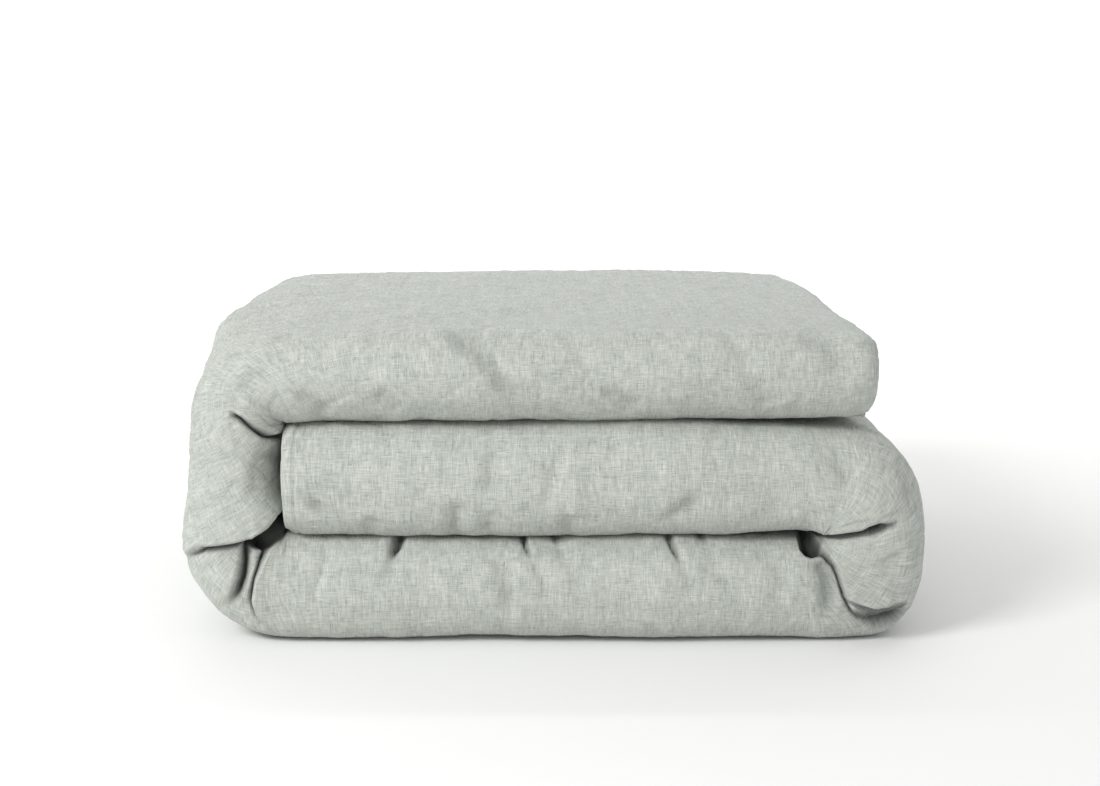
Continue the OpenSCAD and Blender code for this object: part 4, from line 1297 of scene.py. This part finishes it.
def corner_hardware(end, col, step):
    """Ties of the cover and loops of the insert at one end's two back corners. step: which way the insert lies."""
    ties, loops = [], []
    for r_edge, r_in in ((2, r0), (rows - 3, rows - 1 - r0)):
        a = MID[r_edge, col]
        b = MID[r_in, col + step]
        g = (b - a)
        u = g / np.linalg.norm(g)
        v = np.array([0.0, 0.0, 1.0])
        w_ = np.cross(u, v)
        w_ /= np.linalg.norm(w_)
        # loop: from the insert's corner out and back
        o = b - u * 0.001
        loops.append(tape([o + w_ * 0.002, o - u * 0.006 + w_ * 0.005, o - u * 0.013 + w_ * 0.003, o - u * 0.013 - w_ * 0.003, o - u * 0.006 - w_ * 0.005, o - w_ * 0.002], v, 0.0055, 0.0009, 0))
        # tie: two tails from the cover's seam, through the loop to a flat knot
        k = o - u * 0.0115
        ties.append(tape([a + u * 0.003, a * 0.5 + k * 0.5 + w_ * 0.0015, k + w_ * 0.001, k + u * 0.003 + v * 0.0035, k + v * 0.0010 + w_ * 0.0035, k - v * 0.0035 - u * 0.001, k - u * 0.007 - v * 0.0055 + w_ * 0.003], w_, 0.0050, 0.0008, 0))
        ties.append(tape([a + u * 0.003 + v * 0.001, a * 0.5 + k * 0.5 - w_ * 0.0015, k - w_ * 0.001, k + u * 0.003 - v * 0.0035, k - v * 0.0005 - w_ * 0.0035, k + v * 0.0035 - u * 0.001, k - u * 0.006 + v * 0.0065 - w_ * 0.003], w_, 0.0050, 0.0008, 0))
    for name, what, mat in (("corner_ties_", ties, TAPE), ("corner_loops_", loops, TAPE)):
        ob, _ = piece_of(name + end + "_cloth", what, mat)
        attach(ob, "base" if end == "tucked_end" else "upper_third")
        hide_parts(name + end)


corner_hardware("tucked_end", int(np.argmin(np.abs(s_cols - 0.010))), 6)
corner_hardware("upper_end", int(np.argmin(np.abs(s_cols - (S_TOTAL - 0.016)))), -6)

# ---------------------------------------------------------------- the small parts kept from the drawing, with their own materials

def dress(node, material):
    ob = frame["nodes"][node]
    ob.data.materials.clear()
    ob.data.materials.append(material)


dress("buttons", SHELL)
dress("button_threads", THREAD_BUTTON)
dress("care_label", LABEL)
for ob in (frame["nodes"]["buttons"],):
    ob.data.polygons.foreach_set("use_smooth", [False] * len(ob.data.polygons))

# ---------------------------------------------------------------- stage, light, camera

def stage_material(name, colour, rough=0.9):
    m, nt, bsdf = new_material(name)
    bsdf.inputs["Base Color"].default_value = (*colour, 1)
    bsdf.inputs["Roughness"].default_value = rough
    return m


def build_stage():
    mat = stage_material("stage_white", (0.93, 0.93, 0.925))
    pts = [(-9.0, 0.0), (2.2, 0.0)]
    for k in range(1, 13):
        a = math.pi / 2 * k / 12
        pts.append((2.2 + 1.2 * math.sin(a), 1.2 - 1.2 * math.cos(a)))
    pts.append((3.4, 4.0))
    verts, faces = [], []
    for y, z in pts:
        verts += [(-9, y, z), (9, y, z)]
    for i in range(len(pts) - 1):
        faces.append((2 * i, 2 * i + 1, 2 * i + 3, 2 * i + 2))
    ob = mesh_object("floor", verts, faces, mat)


build_stage()

world = bpy.data.worlds.new("studio")
bpy.context.scene.world = world
world.use_nodes = True
world.node_tree.nodes["Background"].inputs[0].default_value = (1, 1, 1, 1)
world.node_tree.nodes["Background"].inputs[1].default_value = 0.60


def area(name, loc, target, size, power, colour=(1, 1, 1)):
    li = bpy.data.lights.new(name, "AREA")
    li.shape = "RECTANGLE"
    li.size, li.size_y = size
    li.energy = power
    li.color = colour
    ob = bpy.data.objects.new(name, li)
    bpy.context.scene.collection.objects.link(ob)
    ob.location = loc
    d = Vector(target) - Vector(loc)
    ob.rotation_euler = d.to_track_quat("-Z", "Y").to_euler()
    return ob


area("key", (-1.9, -2.2, 2.05), (0, -0.2, 0.15), (1.2, 1.0), 66)
area("fill", (0.5, -3.0, 0.30), (0, -0.3, 0.10), (2.0, 0.5), 2)
area("backdrop", (0.0, 1.5, 2.9), (0, 3.4, 0.8), (5.0, 0.8), 62)

cam_data = bpy.data.cameras.new("camera")
cam = bpy.data.objects.new("camera", cam_data)
bpy.context.scene.collection.objects.link(cam)
cam_data.sensor_width = 36.0
cam_data.lens = 61.5
CAM_D, CAM_Z, PITCH = 1.79, 0.551, 9.33
cam.location = (-0.0035, Y_F - CAM_D, CAM_Z)
cam.rotation_euler = (math.radians(90 - PITCH), 0, 0)
cam_data.clip_start = 0.05
bpy.context.scene.camera = cam
bpy.context.scene.view_settings.view_transform = "Standard"
